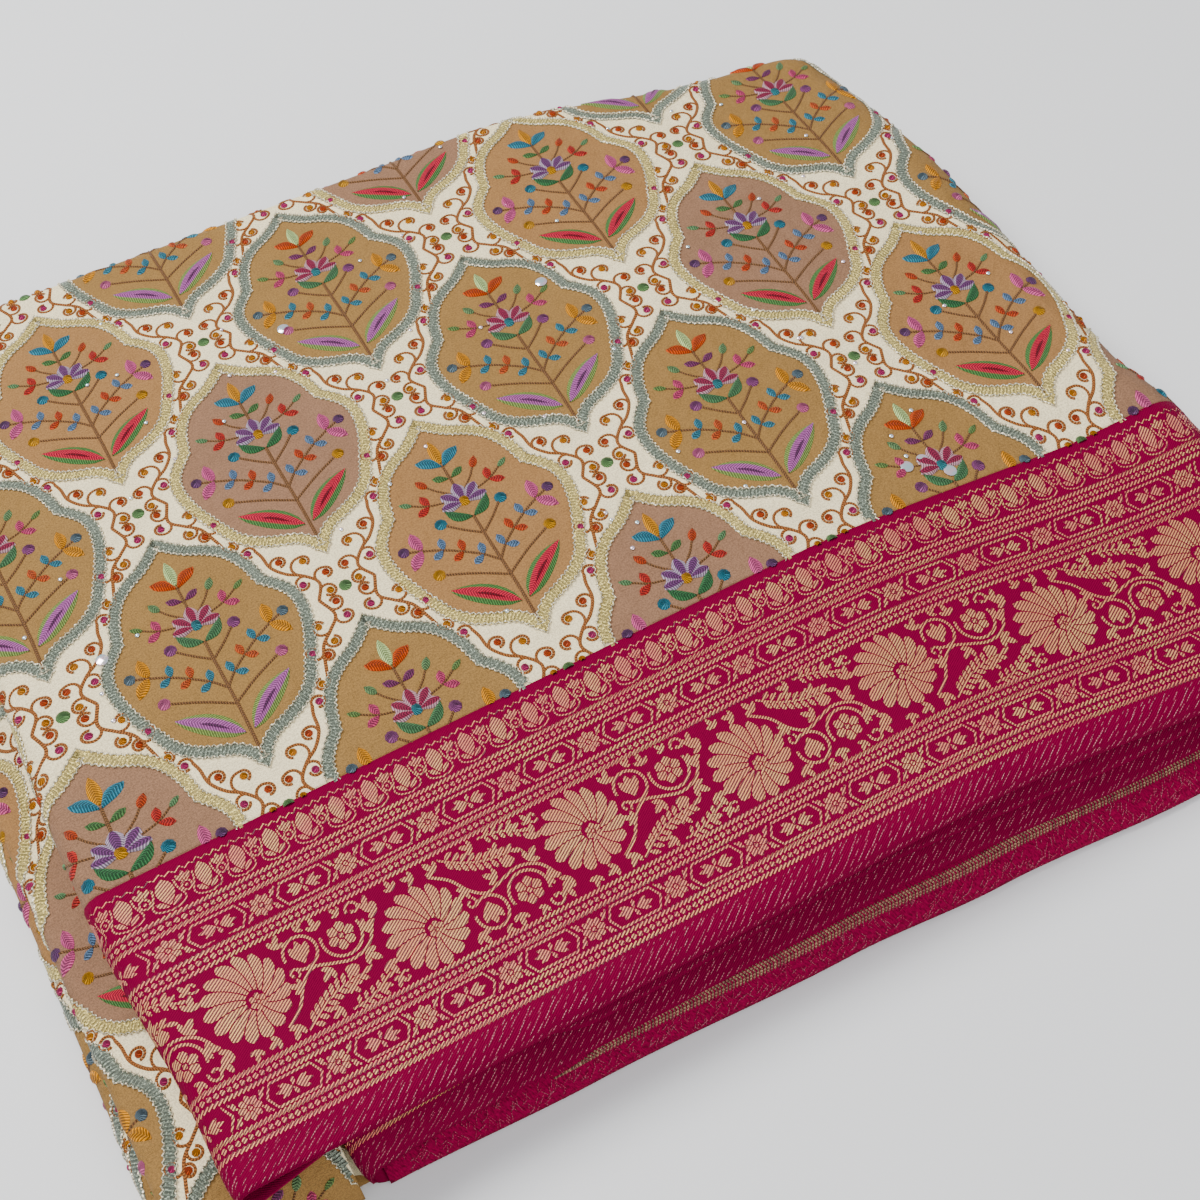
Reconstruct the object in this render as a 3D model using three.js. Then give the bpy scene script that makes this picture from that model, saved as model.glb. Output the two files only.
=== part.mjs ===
// An embroidered saree, folded into a flat stack with its brocade border along the front.
// Millimetres, +Z up. X runs along the border, Y from the border into the field.
// Shapes are worked out in cloth coordinates: s along the border and t across it, with t = 0 at
// the seam between border and field. Heights are measured down from the crown of the stack.
import * as THREE from 'three';

// Stack
const FLOOR = -37.5;
const CLOTH = 1.6;
const SEAM_GAP = 0.3;
const REPEAT_ACROSS = 101;
const CROWN_FALL = 3.6;
const CROWN_LINE = 91;
const CROWN_LEAN = 0.62;
const DROOP = 8;
const DROOP_START = 180;
const DROOP_LENGTH = 110;
const BASE = FLOOR + CLOTH / 2;

// Top layer
const LEFT_FOLD_X = -7.2;
const LEFT_FOLD_RADIUS = 4.5;
const LEFT_RETURN = 20;
const LEFT_BLEND_START = 5;
const LEFT_BLEND_LENGTH = 35;
const RETURN_SKEW = 0.2;
const SKEW_START = 20;
const SKEW_LENGTH = 90;
const RIGHT_REACH = 302.7;
const RIGHT_SWELL = 6;
const RIGHT_TUCK = 7;
const RIGHT_RETURN = 9;
const BACK_LINE = 205.5;
const BACK_SLANT = 0.075;
const BACK_CORNER = 8;
const BACK_FOLD_RADIUS = 5;
const BACK_FOLD_RADIUS_LEFT = 2.4;
const BACK_TURN = 150;
const BACK_TURN_LEFT = 75;
const FRONT_SWAY = 5;

// Border
const BORDER_FLAT = 71;
const LIP_LENGTH = 7.5;
const LIP_TURN = 64;
const LIP_TURN_LEFT = 14;

// Under layers at the left
const UNDER_DEPTH = 11.4;
const UNDER_SLOPE_X = -4;
const UNDER_EDGE_X = -25.2;
const UNDER_EDGE_Z = -21.5;
const UNDER_FOLD_RADIUS = 2.6;
const UNDER_RETURN = 6;
const UNDER_INNER_X = 14.3;
const UNDER_INNER_STEP = 12;
const NOSE_START = -66;
const NOSE_LENGTH = 21.4;
const LOWER_EDGE_X = -27.4;
const LOWER_FOLD_RADIUS = 3.5;
const LOWER_RETURN = 8;

const MIDDLE_START_X = 34;

// Front edges of the layers below the border: where each selvedge lies, station by station
const MIDDLE_EDGE = [
  { x: MIDDLE_START_X, y: -69.0, z: -12.6 },
  { x: 60, y: -79.0, z: -17.6 },
  { x: 80, y: -83.0, z: -19.3 },
  { x: 150, y: -82.0, z: -19.3 },
  { x: 250, y: -87.0, z: -24.2 },
  { x: 292, y: -88.0, z: -25.4 },
];
const SECOND_EDGE = [
  { x: 20, y: -85.2, z: -29.5 },
  { x: 36, y: -84.7, z: -28.5 },
  { x: 80, y: -86.2, z: -25.6 },
  { x: 150, y: -86.4, z: -25.0 },
  { x: 250, y: -90.6, z: -28.6 },
  { x: 292, y: -91.6, z: -29.8 },
];
const BOTTOM_EDGE = [
  { x: 20, y: -86.6, z: BASE },
  { x: 76, y: -88.4, z: BASE },
  { x: 145, y: -91.0, z: BASE },
  { x: 188, y: -93.6, z: BASE },
  { x: 246, y: -97.2, z: BASE },
  { x: 292, y: -99.4, z: BASE },
];
const FRONT_ROOT_Y = -55;
const MIDDLE_ROOT_DEPTH = 2.6;
const SECOND_ROOT_DEPTH = 6;
const BOTTOM_ROOT_DEPTH = 12.5;
const FRONT_END_X = 294;
const SECOND_FOLD_X = 21.5;

// Fold edges of the hidden layers down the back: how far each stands out, and its share of the height
const BACK_RIDGES = [
  { out: -2.2, middle: 0.13, half: 0.125 },
  { out: -0.6, middle: 0.38, half: 0.115 },
  { out: -1.9, middle: 0.63, half: 0.13 },
  { out: 0.4, middle: 0.88, half: 0.115 },
];
const RIDGE_DEPTH = 2.6;

// The hidden layers' crown stops short of the back folds, and their right end tucks into the wrap
const CROWN_INSET = 9;
const SHOULDER_INSET = 6.2;
const SHOULDER_DROP = 1.6;
const BACK_FOLD_CLEAR = 2.2;
const END_CENTRE = 0.2;
const RIGHT_END = [
  { x: 248, tuck: 1.5, lift: 0, squash: 1 },
  { x: 258, tuck: 5, lift: 0, squash: 1 },
  { x: 266, tuck: 12, lift: 0, squash: 1 },
  { x: 269, tuck: 18, lift: CLOTH + SEAM_GAP, squash: 1 },
  { x: 276, tuck: 19, lift: CLOTH + SEAM_GAP, squash: 0.9 },
  { x: 280, tuck: 20, lift: CLOTH + SEAM_GAP, squash: 0.6 },
];

const FINISHES = {
  field: { color: 0xe6ddcb, roughness: 0.72, metalness: 0 },
  border: { color: 0xa01046, roughness: 0.5, metalness: 0.1 },
  hidden: { color: 0xcdbf9f, roughness: 0.75, metalness: 0 },
};

function ease(value) {
  const t = Math.min(Math.max(value, 0), 1);
  return t * t * (3 - 2 * t);
}

function mix(a, b, share) {
  return a + (b - a) * share;
}

function radians(degrees) {
  return (degrees * Math.PI) / 180;
}

// A column of a table at any x between its stations
function along(table, x, column) {
  const last = table.length - 1;
  if (x <= table[0].x) return table[0][column];
  if (x >= table[last].x) return table[last][column];
  const next = table.findIndex((row) => row.x > x);
  const before = table[next - 1];
  const after = table[next];
  return mix(before[column], after[column], ease((x - before.x) / (after.x - before.x)));
}

function crown(t) {
  return -CROWN_FALL * ((t - CROWN_LINE) / REPEAT_ACROSS) ** 2;
}

function droop(s) {
  return -DROOP * ease((s - DROOP_START) / DROOP_LENGTH);
}

function topHeight(s, t) {
  return crown(t) + droop(s);
}

function rightEdge(y) {
  return RIGHT_REACH + RIGHT_SWELL * ease((20 - y) / 50) - RIGHT_TUCK * ease((y - 100) / 75);
}

function backEdge(s) {
  const corner = BACK_CORNER * (ease((s - 190) / 70) + ease((s - 270) / 60));
  return BACK_LINE - BACK_SLANT * s - corner;
}

// The folds open out along the first stretch from the left edge
function leftBlend(s) {
  return ease((s - LEFT_BLEND_START) / LEFT_BLEND_LENGTH);
}

// Profile across the cloth at one s: y, and the depth h that folds turn in below the sheet
function acrossProfile(s, t) {
  const lipTurn = radians(mix(LIP_TURN_LEFT, LIP_TURN, leftBlend(s)));
  const sway = -FRONT_SWAY * ease((s - 190) / 100) * ease((30 - t) / 60);
  if (t < -BORDER_FLAT) {
    const radius = LIP_LENGTH / lipTurn;
    const angle = (-BORDER_FLAT - t) / radius;
    const y = -BORDER_FLAT + CROWN_LEAN * crown(-BORDER_FLAT) - radius * Math.sin(angle) + sway;
    return { y, h: -radius * (1 - Math.cos(angle)), level: -BORDER_FLAT };
  }
  const radius = backRadius(s);
  const tangent = backTangent(s);
  if (t > tangent) {
    const angle = (t - tangent) / radius;
    const y = tangent + CROWN_LEAN * crown(tangent) + radius * Math.sin(angle);
    return { y, h: -radius * (1 - Math.cos(angle)), level: tangent };
  }
  return { y: t + CROWN_LEAN * crown(t) + sway, h: 0, level: t };
}

function backRadius(s) {
  return mix(BACK_FOLD_RADIUS_LEFT, BACK_FOLD_RADIUS, leftBlend(s));
}

function backTangent(s) {
  const y = backEdge(s) - backRadius(s) - CLOTH / 2;
  return y - CROWN_LEAN * crown(y);
}

function backEnd(s) {
  const turn = mix(BACK_TURN_LEFT, BACK_TURN, leftBlend(s));
  return backTangent(s) + backRadius(s) * radians(turn);
}

// The top layer's mid surface. It curls under at the left and wraps down to the table at the right
function topPoint(s, t) {
  const across = acrossProfile(s, t);
  const leftTop = topHeight(LEFT_FOLD_X, across.level);
  const rightTop = crown(across.level) - DROOP;
  const wrapRadius = (rightTop - BASE) / 2;
  const wrapX = rightEdge(across.y) - wrapRadius;
  if (s < LEFT_FOLD_X) {
    const turned = (LEFT_FOLD_X - s) / LEFT_FOLD_RADIUS;
    const angle = Math.min(turned, Math.PI);
    const radius = LEFT_FOLD_RADIUS + across.h;
    const run = Math.max(turned - Math.PI, 0) * LEFT_FOLD_RADIUS;
    const x = LEFT_FOLD_X - radius * Math.sin(angle) + run;
    const z = leftTop - LEFT_FOLD_RADIUS + radius * Math.cos(angle);
    const skew = RETURN_SKEW * ease((SKEW_START - t) / SKEW_LENGTH);
    return new THREE.Vector3(x, across.y + run * skew, z);
  }
  if (s > wrapX) {
    const turned = (s - wrapX) / wrapRadius;
    const angle = Math.min(turned, Math.PI);
    const radius = wrapRadius + across.h;
    const run = Math.max(turned - Math.PI, 0) * wrapRadius;
    const x = wrapX + radius * Math.sin(angle) - run;
    return new THREE.Vector3(x, across.y, BASE + wrapRadius + radius * Math.cos(angle));
  }
  return new THREE.Vector3(s, across.y, topHeight(s, across.level) + across.h);
}

// Stations along the top layer, from the end of the left return to the end of the right one.
// Values from 0 to 1 run over the wrap, which is longer where the stack is higher
function topStation(station, t) {
  const level = Math.max(t, -BORDER_FLAT);
  const y = level + CROWN_LEAN * crown(level);
  const wrapRadius = (crown(level) - DROOP - BASE) / 2;
  const wrapX = rightEdge(y) - wrapRadius;
  const curl = LEFT_FOLD_RADIUS * Math.PI;
  if (station.zone === 'left') return LEFT_FOLD_X - curl - LEFT_RETURN * station.share;
  if (station.zone === 'curl') return LEFT_FOLD_X - curl * station.share;
  if (station.zone === 'flat') return mix(LEFT_FOLD_X, wrapX, station.share);
  if (station.zone === 'wrap') return wrapX + wrapRadius * Math.PI * station.share;
  return wrapX + wrapRadius * Math.PI + RIGHT_RETURN * station.share;
}

function stations(zone, count, from, to) {
  const step = count > 1 ? (to - from) / (count - 1) : 0;
  return Array.from({ length: count }, (_, i) => ({ zone, share: from + i * step }));
}

function topStations(flatCount) {
  return [
    ...stations('left', 3, 1, 1 / 3),
    ...stations('curl', 6, 1, 1 / 6),
    ...stations('flat', flatCount, 0, 1),
    ...stations('wrap', 9, 1 / 9, 1),
    ...stations('return', 1, 1, 1),
  ];
}

// A closed wall of cloth about a grid of mid-surface points
function clothWall(name, finish, grid) {
  const rows = grid.length;
  const cols = grid[0].length;
  const positions = [];
  for (const side of [1, -1]) {
    for (let i = 0; i < rows; i += 1) {
      for (let j = 0; j < cols; j += 1) {
        const forward = grid[Math.min(i + 1, rows - 1)][j].clone().sub(grid[Math.max(i - 1, 0)][j]);
        const sideways = grid[i][Math.min(j + 1, cols - 1)].clone().sub(grid[i][Math.max(j - 1, 0)]);
        const normal = forward.cross(sideways).normalize();
        const point = grid[i][j].clone().addScaledVector(normal, (side * CLOTH) / 2);
        positions.push(point.x, point.y, point.z);
      }
    }
  }
  const index = [];
  const at = (side, i, j) => side * rows * cols + i * cols + j;
  const quad = (a, b, c, d) => index.push(a, b, c, a, c, d);
  for (let i = 0; i < rows - 1; i += 1) {
    for (let j = 0; j < cols - 1; j += 1) {
      quad(at(0, i, j), at(0, i + 1, j), at(0, i + 1, j + 1), at(0, i, j + 1));
      quad(at(1, i, j), at(1, i, j + 1), at(1, i + 1, j + 1), at(1, i + 1, j));
    }
  }
  for (let i = 0; i < rows - 1; i += 1) {
    quad(at(0, i, 0), at(1, i, 0), at(1, i + 1, 0), at(0, i + 1, 0));
    quad(at(0, i, cols - 1), at(0, i + 1, cols - 1), at(1, i + 1, cols - 1), at(1, i, cols - 1));
  }
  for (let j = 0; j < cols - 1; j += 1) {
    quad(at(0, 0, j), at(0, 0, j + 1), at(1, 0, j + 1), at(1, 0, j));
    quad(at(0, rows - 1, j), at(1, rows - 1, j), at(1, rows - 1, j + 1), at(0, rows - 1, j + 1));
  }
  return closedMesh(name, finish, positions, index);
}

function closedMesh(name, finish, positions, index) {
  const geometry = new THREE.BufferGeometry();
  geometry.setAttribute('position', new THREE.Float32BufferAttribute(positions, 3));
  geometry.setIndex(signedVolume(positions, index) < 0 ? index.slice().reverse() : index);
  geometry.computeVertexNormals();
  const mesh = new THREE.Mesh(geometry, new THREE.MeshStandardMaterial(FINISHES[finish]));
  mesh.name = name;
  return mesh;
}

function signedVolume(positions, index) {
  const corner = (k) => new THREE.Vector3().fromArray(positions, index[k] * 3);
  let volume = 0;
  for (let k = 0; k < index.length; k += 3) {
    volume += corner(k).dot(corner(k + 1).cross(corner(k + 2))) / 6;
  }
  return volume;
}

// Field: from the seam over the crown to the fold line at the back
function topField() {
  const flatRows = [0, 0.14, 0.28, 0.42, 0.56, 0.7, 0.85, 1];
  const rollRows = [0.2, 0.4, 0.6, 0.8, 1];
  const seam = SEAM_GAP / 2;
  const grid = topStations(17).map((station) => {
    const flat = flatRows.map((share) => {
      const guess = topStation(station, mix(seam, BACK_LINE, share));
      const t = mix(seam, backTangent(guess), share);
      return topPoint(topStation(station, t), t);
    });
    const roll = rollRows.map((share) => {
      const s = topStation(station, backTangent(topStation(station, BACK_LINE)));
      return topPoint(s, mix(backTangent(s), backEnd(s), share));
    });
    return [...flat, ...roll];
  });
  return clothWall('top_field', 'field', grid);
}

// Border: from the seam to the selvedge, which turns down a little at the front
function topBorder() {
  const flatRows = [-SEAM_GAP / 2, -24, -48, -BORDER_FLAT];
  const lipRows = [0.34, 0.67, 1].map((share) => -BORDER_FLAT - LIP_LENGTH * share);
  const rows = [...flatRows, ...lipRows];
  const grid = topStations(19).map((station) => rows.map((t) => topPoint(topStation(station, t), t)));
  return clothWall('top_border', 'border', grid);
}

// A front layer's profile at one x: a curve from its hidden root over the brow to its selvedge
function frontCurve(root, brow, edge, share) {
  const rest = 1 - share;
  const y = rest * rest * root.y + 2 * rest * share * brow.y + share * share * edge.y;
  const z = rest * rest * root.z + 2 * rest * share * brow.z + share * share * edge.z;
  return { y, z };
}

function edgeAt(table, x) {
  return { y: along(table, x, 'y'), z: along(table, x, 'z') };
}

function middleLayer(x, share) {
  const edge = edgeAt(MIDDLE_EDGE, x);
  const root = { y: FRONT_ROOT_Y, z: topHeight(x, FRONT_ROOT_Y) - MIDDLE_ROOT_DEPTH };
  const brow = { y: edge.y + 8, z: mix(root.z, edge.z, 0.52) };
  return frontCurve(root, brow, edge, share);
}

function secondLayer(x, share) {
  const edge = edgeAt(SECOND_EDGE, x);
  const root = { y: FRONT_ROOT_Y, z: topHeight(x, FRONT_ROOT_Y) - SECOND_ROOT_DEPTH };
  const reach = mix(5.5, 9, ease((x - 36) / 40));
  const fall = mix(0.1, 0.5, ease((x - 36) / 30));
  const brow = { y: edge.y + reach, z: mix(root.z, edge.z, fall) };
  return frontCurve(root, brow, edge, share);
}

function bottomLayer(x, share) {
  const edge = edgeAt(BOTTOM_EDGE, x);
  const root = { y: FRONT_ROOT_Y, z: topHeight(x, FRONT_ROOT_Y) - BOTTOM_ROOT_DEPTH };
  const brow = { y: edge.y + 0.6, z: along(SECOND_EDGE, x, 'z') + 0.5 };
  return frontCurve(root, brow, edge, share);
}

function frontStations(from, to, count) {
  return Array.from({ length: count }, (_, i) => mix(from, to, i / (count - 1)));
}

const FRONT_SHARES = [0, 0.3, 0.55, 0.72, 0.87, 1];

function middleBorder() {
  const grid = frontStations(MIDDLE_START_X, FRONT_END_X, 20).map((x) => FRONT_SHARES.map((share) => {
    const point = middleLayer(x, share);
    return new THREE.Vector3(x, point.y, point.z);
  }));
  return clothWall('middle_border', 'border', grid);
}

// The second border layer and its return below, joined by the fold at the left
function secondBorder() {
  const xs = frontStations(SECOND_FOLD_X, FRONT_END_X, 20);
  const below = xs.slice().reverse().map((x) => FRONT_SHARES.map((share) => {
    const point = bottomLayer(x, share);
    return new THREE.Vector3(x, point.y, point.z);
  }));
  const fold = [30, 60, 90, 120, 150].map((degrees) => FRONT_SHARES.map((share) => {
    const low = bottomLayer(SECOND_FOLD_X, share);
    const high = secondLayer(SECOND_FOLD_X, share);
    const radius = Math.hypot(high.y - low.y, high.z - low.z) / 2;
    const lift = (1 - Math.cos(radians(degrees))) / 2;
    const x = SECOND_FOLD_X - radius * Math.sin(radians(degrees));
    return new THREE.Vector3(x, mix(low.y, high.y, lift), mix(low.z, high.z, lift));
  }));
  const above = xs.map((x) => FRONT_SHARES.map((share) => {
    const point = secondLayer(x, share);
    return new THREE.Vector3(x, point.y, point.z);
  }));
  return clothWall('second_border', 'border', [...below, ...fold, ...above]);
}

// The under layers' nose: how far forward and how much flatter at one share of its quarter turn
function nose(share) {
  const angle = radians(90 * share);
  return { y: NOSE_START - NOSE_LENGTH * Math.sin(angle), squash: Math.cos(angle) };
}

// The under layer lies level below the top one and slopes down outside it to its own fold
function underSurface(x, t) {
  const side = ease((UNDER_SLOPE_X - x) / (UNDER_SLOPE_X - UNDER_EDGE_X));
  return mix(topHeight(LEFT_FOLD_X, t) - UNDER_DEPTH, UNDER_EDGE_Z, side);
}

// Field cloth below the border's left fold: a fold at the left and a nose down to the table
function underField() {
  const bodyRows = [1, 0.8, 0.6, 0.42, 0.26, 0.13, 0.065, 0];
  const noseRows = [0.15, 0.3, 0.45, 0.6, 0.72, 0.84, 0.95];
  const section = (y, squash) => {
    const right = UNDER_INNER_X + UNDER_INNER_STEP * ease((y + 46) / 15);
    const level = Math.max(y, NOSE_START);
    const lower = (z) => BASE + (z - BASE) * squash;
    const run = [1, 0.72, 0.46, 0.3, 0.16, 0.06].map((share) => mix(UNDER_EDGE_X, right, share));
    const top = run.map((x) => new THREE.Vector3(x, y, lower(underSurface(x, level))));
    const fold = [0, 36, 72, 108, 144, 180].map((degrees) => {
      const x = UNDER_EDGE_X - UNDER_FOLD_RADIUS * Math.sin(radians(degrees));
      const z = UNDER_EDGE_Z - UNDER_FOLD_RADIUS * (1 - Math.cos(radians(degrees)));
      return new THREE.Vector3(x, y, lower(z));
    });
    const endZ = lower(UNDER_EDGE_Z - 2 * UNDER_FOLD_RADIUS);
    return [...top, ...fold, new THREE.Vector3(UNDER_EDGE_X + UNDER_RETURN, y, endZ)];
  };
  const back = backEdge(LEFT_FOLD_X) - 3;
  const grid = [
    ...bodyRows.map((share) => section(mix(NOSE_START, back, share), 1)),
    ...noseRows.map((share) => section(nose(share).y, nose(share).squash)),
  ];
  return clothWall('under_field', 'field', grid);
}

// The lowest fold at the left, which lies on the table
function lowerField() {
  const centre = BASE + LOWER_FOLD_RADIUS;
  const section = (y) => {
    const fold = [0, 30, 60, 90, 120, 150, 180].map((degrees) => {
      const x = LOWER_EDGE_X - LOWER_FOLD_RADIUS * Math.sin(radians(degrees));
      return new THREE.Vector3(x, y, centre + LOWER_FOLD_RADIUS * Math.cos(radians(degrees)));
    });
    const first = new THREE.Vector3(LOWER_EDGE_X + LOWER_RETURN, y, centre + LOWER_FOLD_RADIUS);
    const last = new THREE.Vector3(LOWER_EDGE_X + LOWER_RETURN, y, BASE);
    return [first, ...fold, last];
  };
  const back = backEdge(LEFT_FOLD_X) - 1;
  const grid = [
    ...[1, 0.75, 0.5, 0.25, 0].map((share) => section(mix(NOSE_START, back, share))),
    ...[0.14, 0.27].map((share) => section(nose(share).y)),
  ];
  return clothWall('lower_field', 'field', grid);
}

// The hidden layers' front, a clearance inside the second border layer's return
function frontLine(x, bottom, clearance) {
  const shares = [0.97, 0.9, 0.78, 0.62, 0.42, 0.2, 0];
  const first = [edgeAt(BOTTOM_EDGE, x).y + clearance, bottom];
  return [first, ...shares.map((share) => {
    const point = bottomLayer(x, share);
    const ahead = bottomLayer(x, share + 0.01);
    const length = Math.hypot(ahead.y - point.y, ahead.z - point.z);
    const y = point.y - ((ahead.z - point.z) / length) * clearance;
    const z = point.z + ((ahead.y - point.y) / length) * clearance;
    return [y, Math.max(z, bottom + 0.3)];
  })];
}

// The rest of the folded length as one solid, layered down the back and round-nosed at the front
function hiddenLayers() {
  const clearance = CLOTH + SEAM_GAP;
  const section = (x, tuck, bottom, squash) => {
    const back = backEdge(x) - tuck;
    const under = ease((x - 27) / 11);
    const top = (y) => mix(underSurface(x, y), topHeight(x, y), under) - clearance;
    const front = frontLine(Math.max(x, SECOND_FOLD_X), bottom, clearance + SEAM_GAP);
    const line = front.map(([y, z]) => [y + tuck, z]);
    line.push([FRONT_ROOT_Y + tuck + 4, line.at(-1)[1] + 0.5]);
    line.push([-43 + tuck / 2, mix(line.at(-1)[1], top(-43), 0.6)]);
    for (const share of [0, 0.25, 0.5, 0.75, 1]) {
      const y = mix(-34, back - CROWN_INSET, share);
      line.push([y, top(y)]);
    }
    line.push([back - SHOULDER_INSET, top(back) - SHOULDER_DROP]);
    const belowFold = topHeight(x, back) - 2 * BACK_FOLD_RADIUS - BACK_FOLD_CLEAR;
    const start = mix(top(back) - 2.4, belowFold, under);
    line.push([back - 5.4, start + 1.2]);
    for (const ridge of BACK_RIDGES) {
      for (const degrees of [62, 28, -28, -62]) {
        const y = back + ridge.out - RIDGE_DEPTH + RIDGE_DEPTH * Math.cos(radians(degrees));
        const share = ridge.middle - ridge.half * Math.sin(radians(degrees));
        line.push([y - 0.5, Math.max(mix(start, FLOOR, share), bottom + 0.4)]);
      }
    }
    line.push([back - 2.6, bottom]);
    const middle = mix(FLOOR, topHeight(x, 0), END_CENTRE);
    return line.map(([y, z]) => [x, y, middle + (Math.max(z, bottom) - middle) * squash]);
  };
  const sections = [
    ...[-17.5, -8, 2, 12, 22, 27, 30, 33, 36, 42].map((x) => section(x, 0, FLOOR, 1)),
    ...frontStations(66, 234, 8).map((x) => section(x, 0, FLOOR, 1)),
    ...RIGHT_END.map((end) => section(end.x, end.tuck, FLOOR + end.lift, end.squash)),
  ];
  const count = sections[0].length;
  const positions = sections.flat(2);
  const index = [];
  for (let i = 0; i < sections.length - 1; i += 1) {
    for (let k = 0; k < count; k += 1) {
      const next = (k + 1) % count;
      const [a, b, c, d] = [i * count + k, i * count + next, (i + 1) * count + next, (i + 1) * count + k];
      index.push(a, b, c, a, c, d);
    }
  }
  for (const i of [0, sections.length - 1]) {
    const outline = sections[i].map(([, y, z]) => new THREE.Vector2(y, z));
    const turn = Math.sign(THREE.ShapeUtils.area(outline)) * (i === 0 ? -1 : 1);
    for (const [a, b, c] of THREE.ShapeUtils.triangulateShape(outline, [])) {
      const forward = THREE.ShapeUtils.area([outline[a], outline[b], outline[c]]) * turn > 0;
      index.push(i * count + a, i * count + (forward ? b : c), i * count + (forward ? c : b));
    }
  }
  return closedMesh('hidden_layers', 'hidden', positions, index);
}

const saree = new THREE.Group();
saree.add(topField(), topBorder(), middleBorder(), secondBorder());
saree.add(underField(), lowerField(), hiddenLayers());

// Stand the stack on z = 0 with the middle of its footprint at the origin
const extent = new THREE.Box3().setFromObject(saree);
const middle = extent.getCenter(new THREE.Vector3());
saree.position.set(-middle.x, -middle.y, -extent.min.z);

export default saree;
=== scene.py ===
"""A folded saree: embroidered ivory field with a crimson and gold brocade border.

Sizes inside the script are millimetres of cloth: s runs along the border, t from the seam between
border and field into the field. The pieces are turned into metres in the row frame as they are made.
"""

import math

import bmesh
import bpy
import numpy as np
from bpy.props import FloatProperty, FloatVectorProperty, IntProperty, PointerProperty
from mathutils import Matrix, Vector
from mathutils.bvhtree import BVHTree


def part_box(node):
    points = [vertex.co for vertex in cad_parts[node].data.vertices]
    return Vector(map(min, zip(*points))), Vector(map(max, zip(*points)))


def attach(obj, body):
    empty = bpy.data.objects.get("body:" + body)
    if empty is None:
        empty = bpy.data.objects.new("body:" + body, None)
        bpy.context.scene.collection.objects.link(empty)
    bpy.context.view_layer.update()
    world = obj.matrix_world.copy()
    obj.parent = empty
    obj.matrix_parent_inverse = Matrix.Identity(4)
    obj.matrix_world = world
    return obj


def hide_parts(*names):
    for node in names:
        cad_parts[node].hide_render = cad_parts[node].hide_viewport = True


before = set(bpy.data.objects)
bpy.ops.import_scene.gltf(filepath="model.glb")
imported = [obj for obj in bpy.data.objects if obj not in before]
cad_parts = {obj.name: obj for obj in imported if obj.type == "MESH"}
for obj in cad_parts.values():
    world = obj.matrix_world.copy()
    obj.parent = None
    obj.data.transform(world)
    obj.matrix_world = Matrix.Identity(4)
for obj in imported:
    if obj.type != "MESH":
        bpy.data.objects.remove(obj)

bl_info = {
    "name": "Folded Saree",
    "version": (1, 0, 0),
    "blender": (4, 5, 0),
    "location": "View3D > Sidebar > Saree",
    "description": "Builds a folded saree with an embroidered field and a brocade border",
    "category": "Object",
}

MM = 0.001
UV_SPAN = 500.0
UV_FIRST = (100.0, 150.0)

# Stack
FLOOR = -37.5
CLOTH = 1.6
SHELL = 0.6
BASE = FLOOR + CLOTH / 2
REPEAT_ALONG = 78.0
REPEAT_ACROSS = 101.0
CROWN_FALL = 3.6
CROWN_LINE = 91.0
CROWN_LEAN = 0.62
DROOP = 8.0

# Top layer
LEFT_FOLD_X = -7.2
LEFT_FOLD_RADIUS = 4.5
LEFT_RETURN = 20.0
RETURN_SKEW = 0.2
RIGHT_REACH = 302.7
RIGHT_SWELL = 6.0
RIGHT_TUCK = 7.0
RIGHT_RETURN = 9.0
BACK_LINE = 205.5
BACK_SLANT = 0.075
BACK_CORNER = 8.0
BACK_FOLD_RADIUS = 5.0
BACK_FOLD_RADIUS_LEFT = 2.4
BACK_TURN = 150.0
BACK_TURN_LEFT = 75.0
FRONT_SWAY = 5.0
BORDER_FLAT = 71.0
LIP_LENGTH = 7.5
LIP_TURN = 64.0
LIP_TURN_LEFT = 14.0
HEM = BORDER_FLAT + LIP_LENGTH
SEAM = 0.7
SEAM_RISE = 0.32
LEFT_BULGE = 3.6
LEFT_END = LEFT_FOLD_X - math.pi * LEFT_FOLD_RADIUS - LEFT_RETURN
TOP_ROWS = 196

# Under layers at the left
UNDER_DEPTH = 11.4
UNDER_SLOPE_X = -4.0
UNDER_EDGE_X = -25.2
UNDER_EDGE_Z = -21.5
UNDER_FOLD_RADIUS = 2.6
UNDER_RETURN = 6.0
UNDER_INNER_X = 14.3
UNDER_INNER_STEP = 12.0
NOSE_START = -66.0
NOSE_LENGTH = 21.4
LOWER_EDGE_X = -27.4
LOWER_FOLD_RADIUS = 3.5
LOWER_RETURN = 8.0

# Where the pattern of the layers below lies against that of the top one
UNDER_OFFSET = (6.0, 0.0)
LOWER_OFFSET = (51.0, 127.0)
BACK_OFFSET = (30.0, 40.0)
WRONG_SIDE_T = 100.0

# Front edges of the layers below the border: x, y and z of each selvedge
MIDDLE_EDGE = [
    (34, -69.0, -12.6), (60, -79.0, -17.6), (80, -83.0, -19.3),
    (150, -82.0, -19.3), (250, -87.0, -24.2), (292, -88.0, -25.4),
]
SECOND_EDGE = [
    (20, -85.2, -29.5), (36, -84.7, -28.5), (80, -86.2, -25.6),
    (150, -86.4, -25.0), (250, -90.6, -28.6), (292, -91.6, -29.8),
]
BOTTOM_EDGE = [
    (20, -86.6, BASE), (76, -88.4, BASE), (145, -91.0, BASE),
    (188, -93.6, BASE), (246, -97.2, BASE), (292, -99.4, BASE),
]
FRONT_ROOT_Y = -55.0
MIDDLE_ROOT_DEPTH = 2.6
SECOND_ROOT_DEPTH = 6.0
BOTTOM_ROOT_DEPTH = 12.5
MIDDLE_START_X = 34.0
FRONT_END_X = 294.0
SECOND_FOLD_X = 21.5

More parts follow.
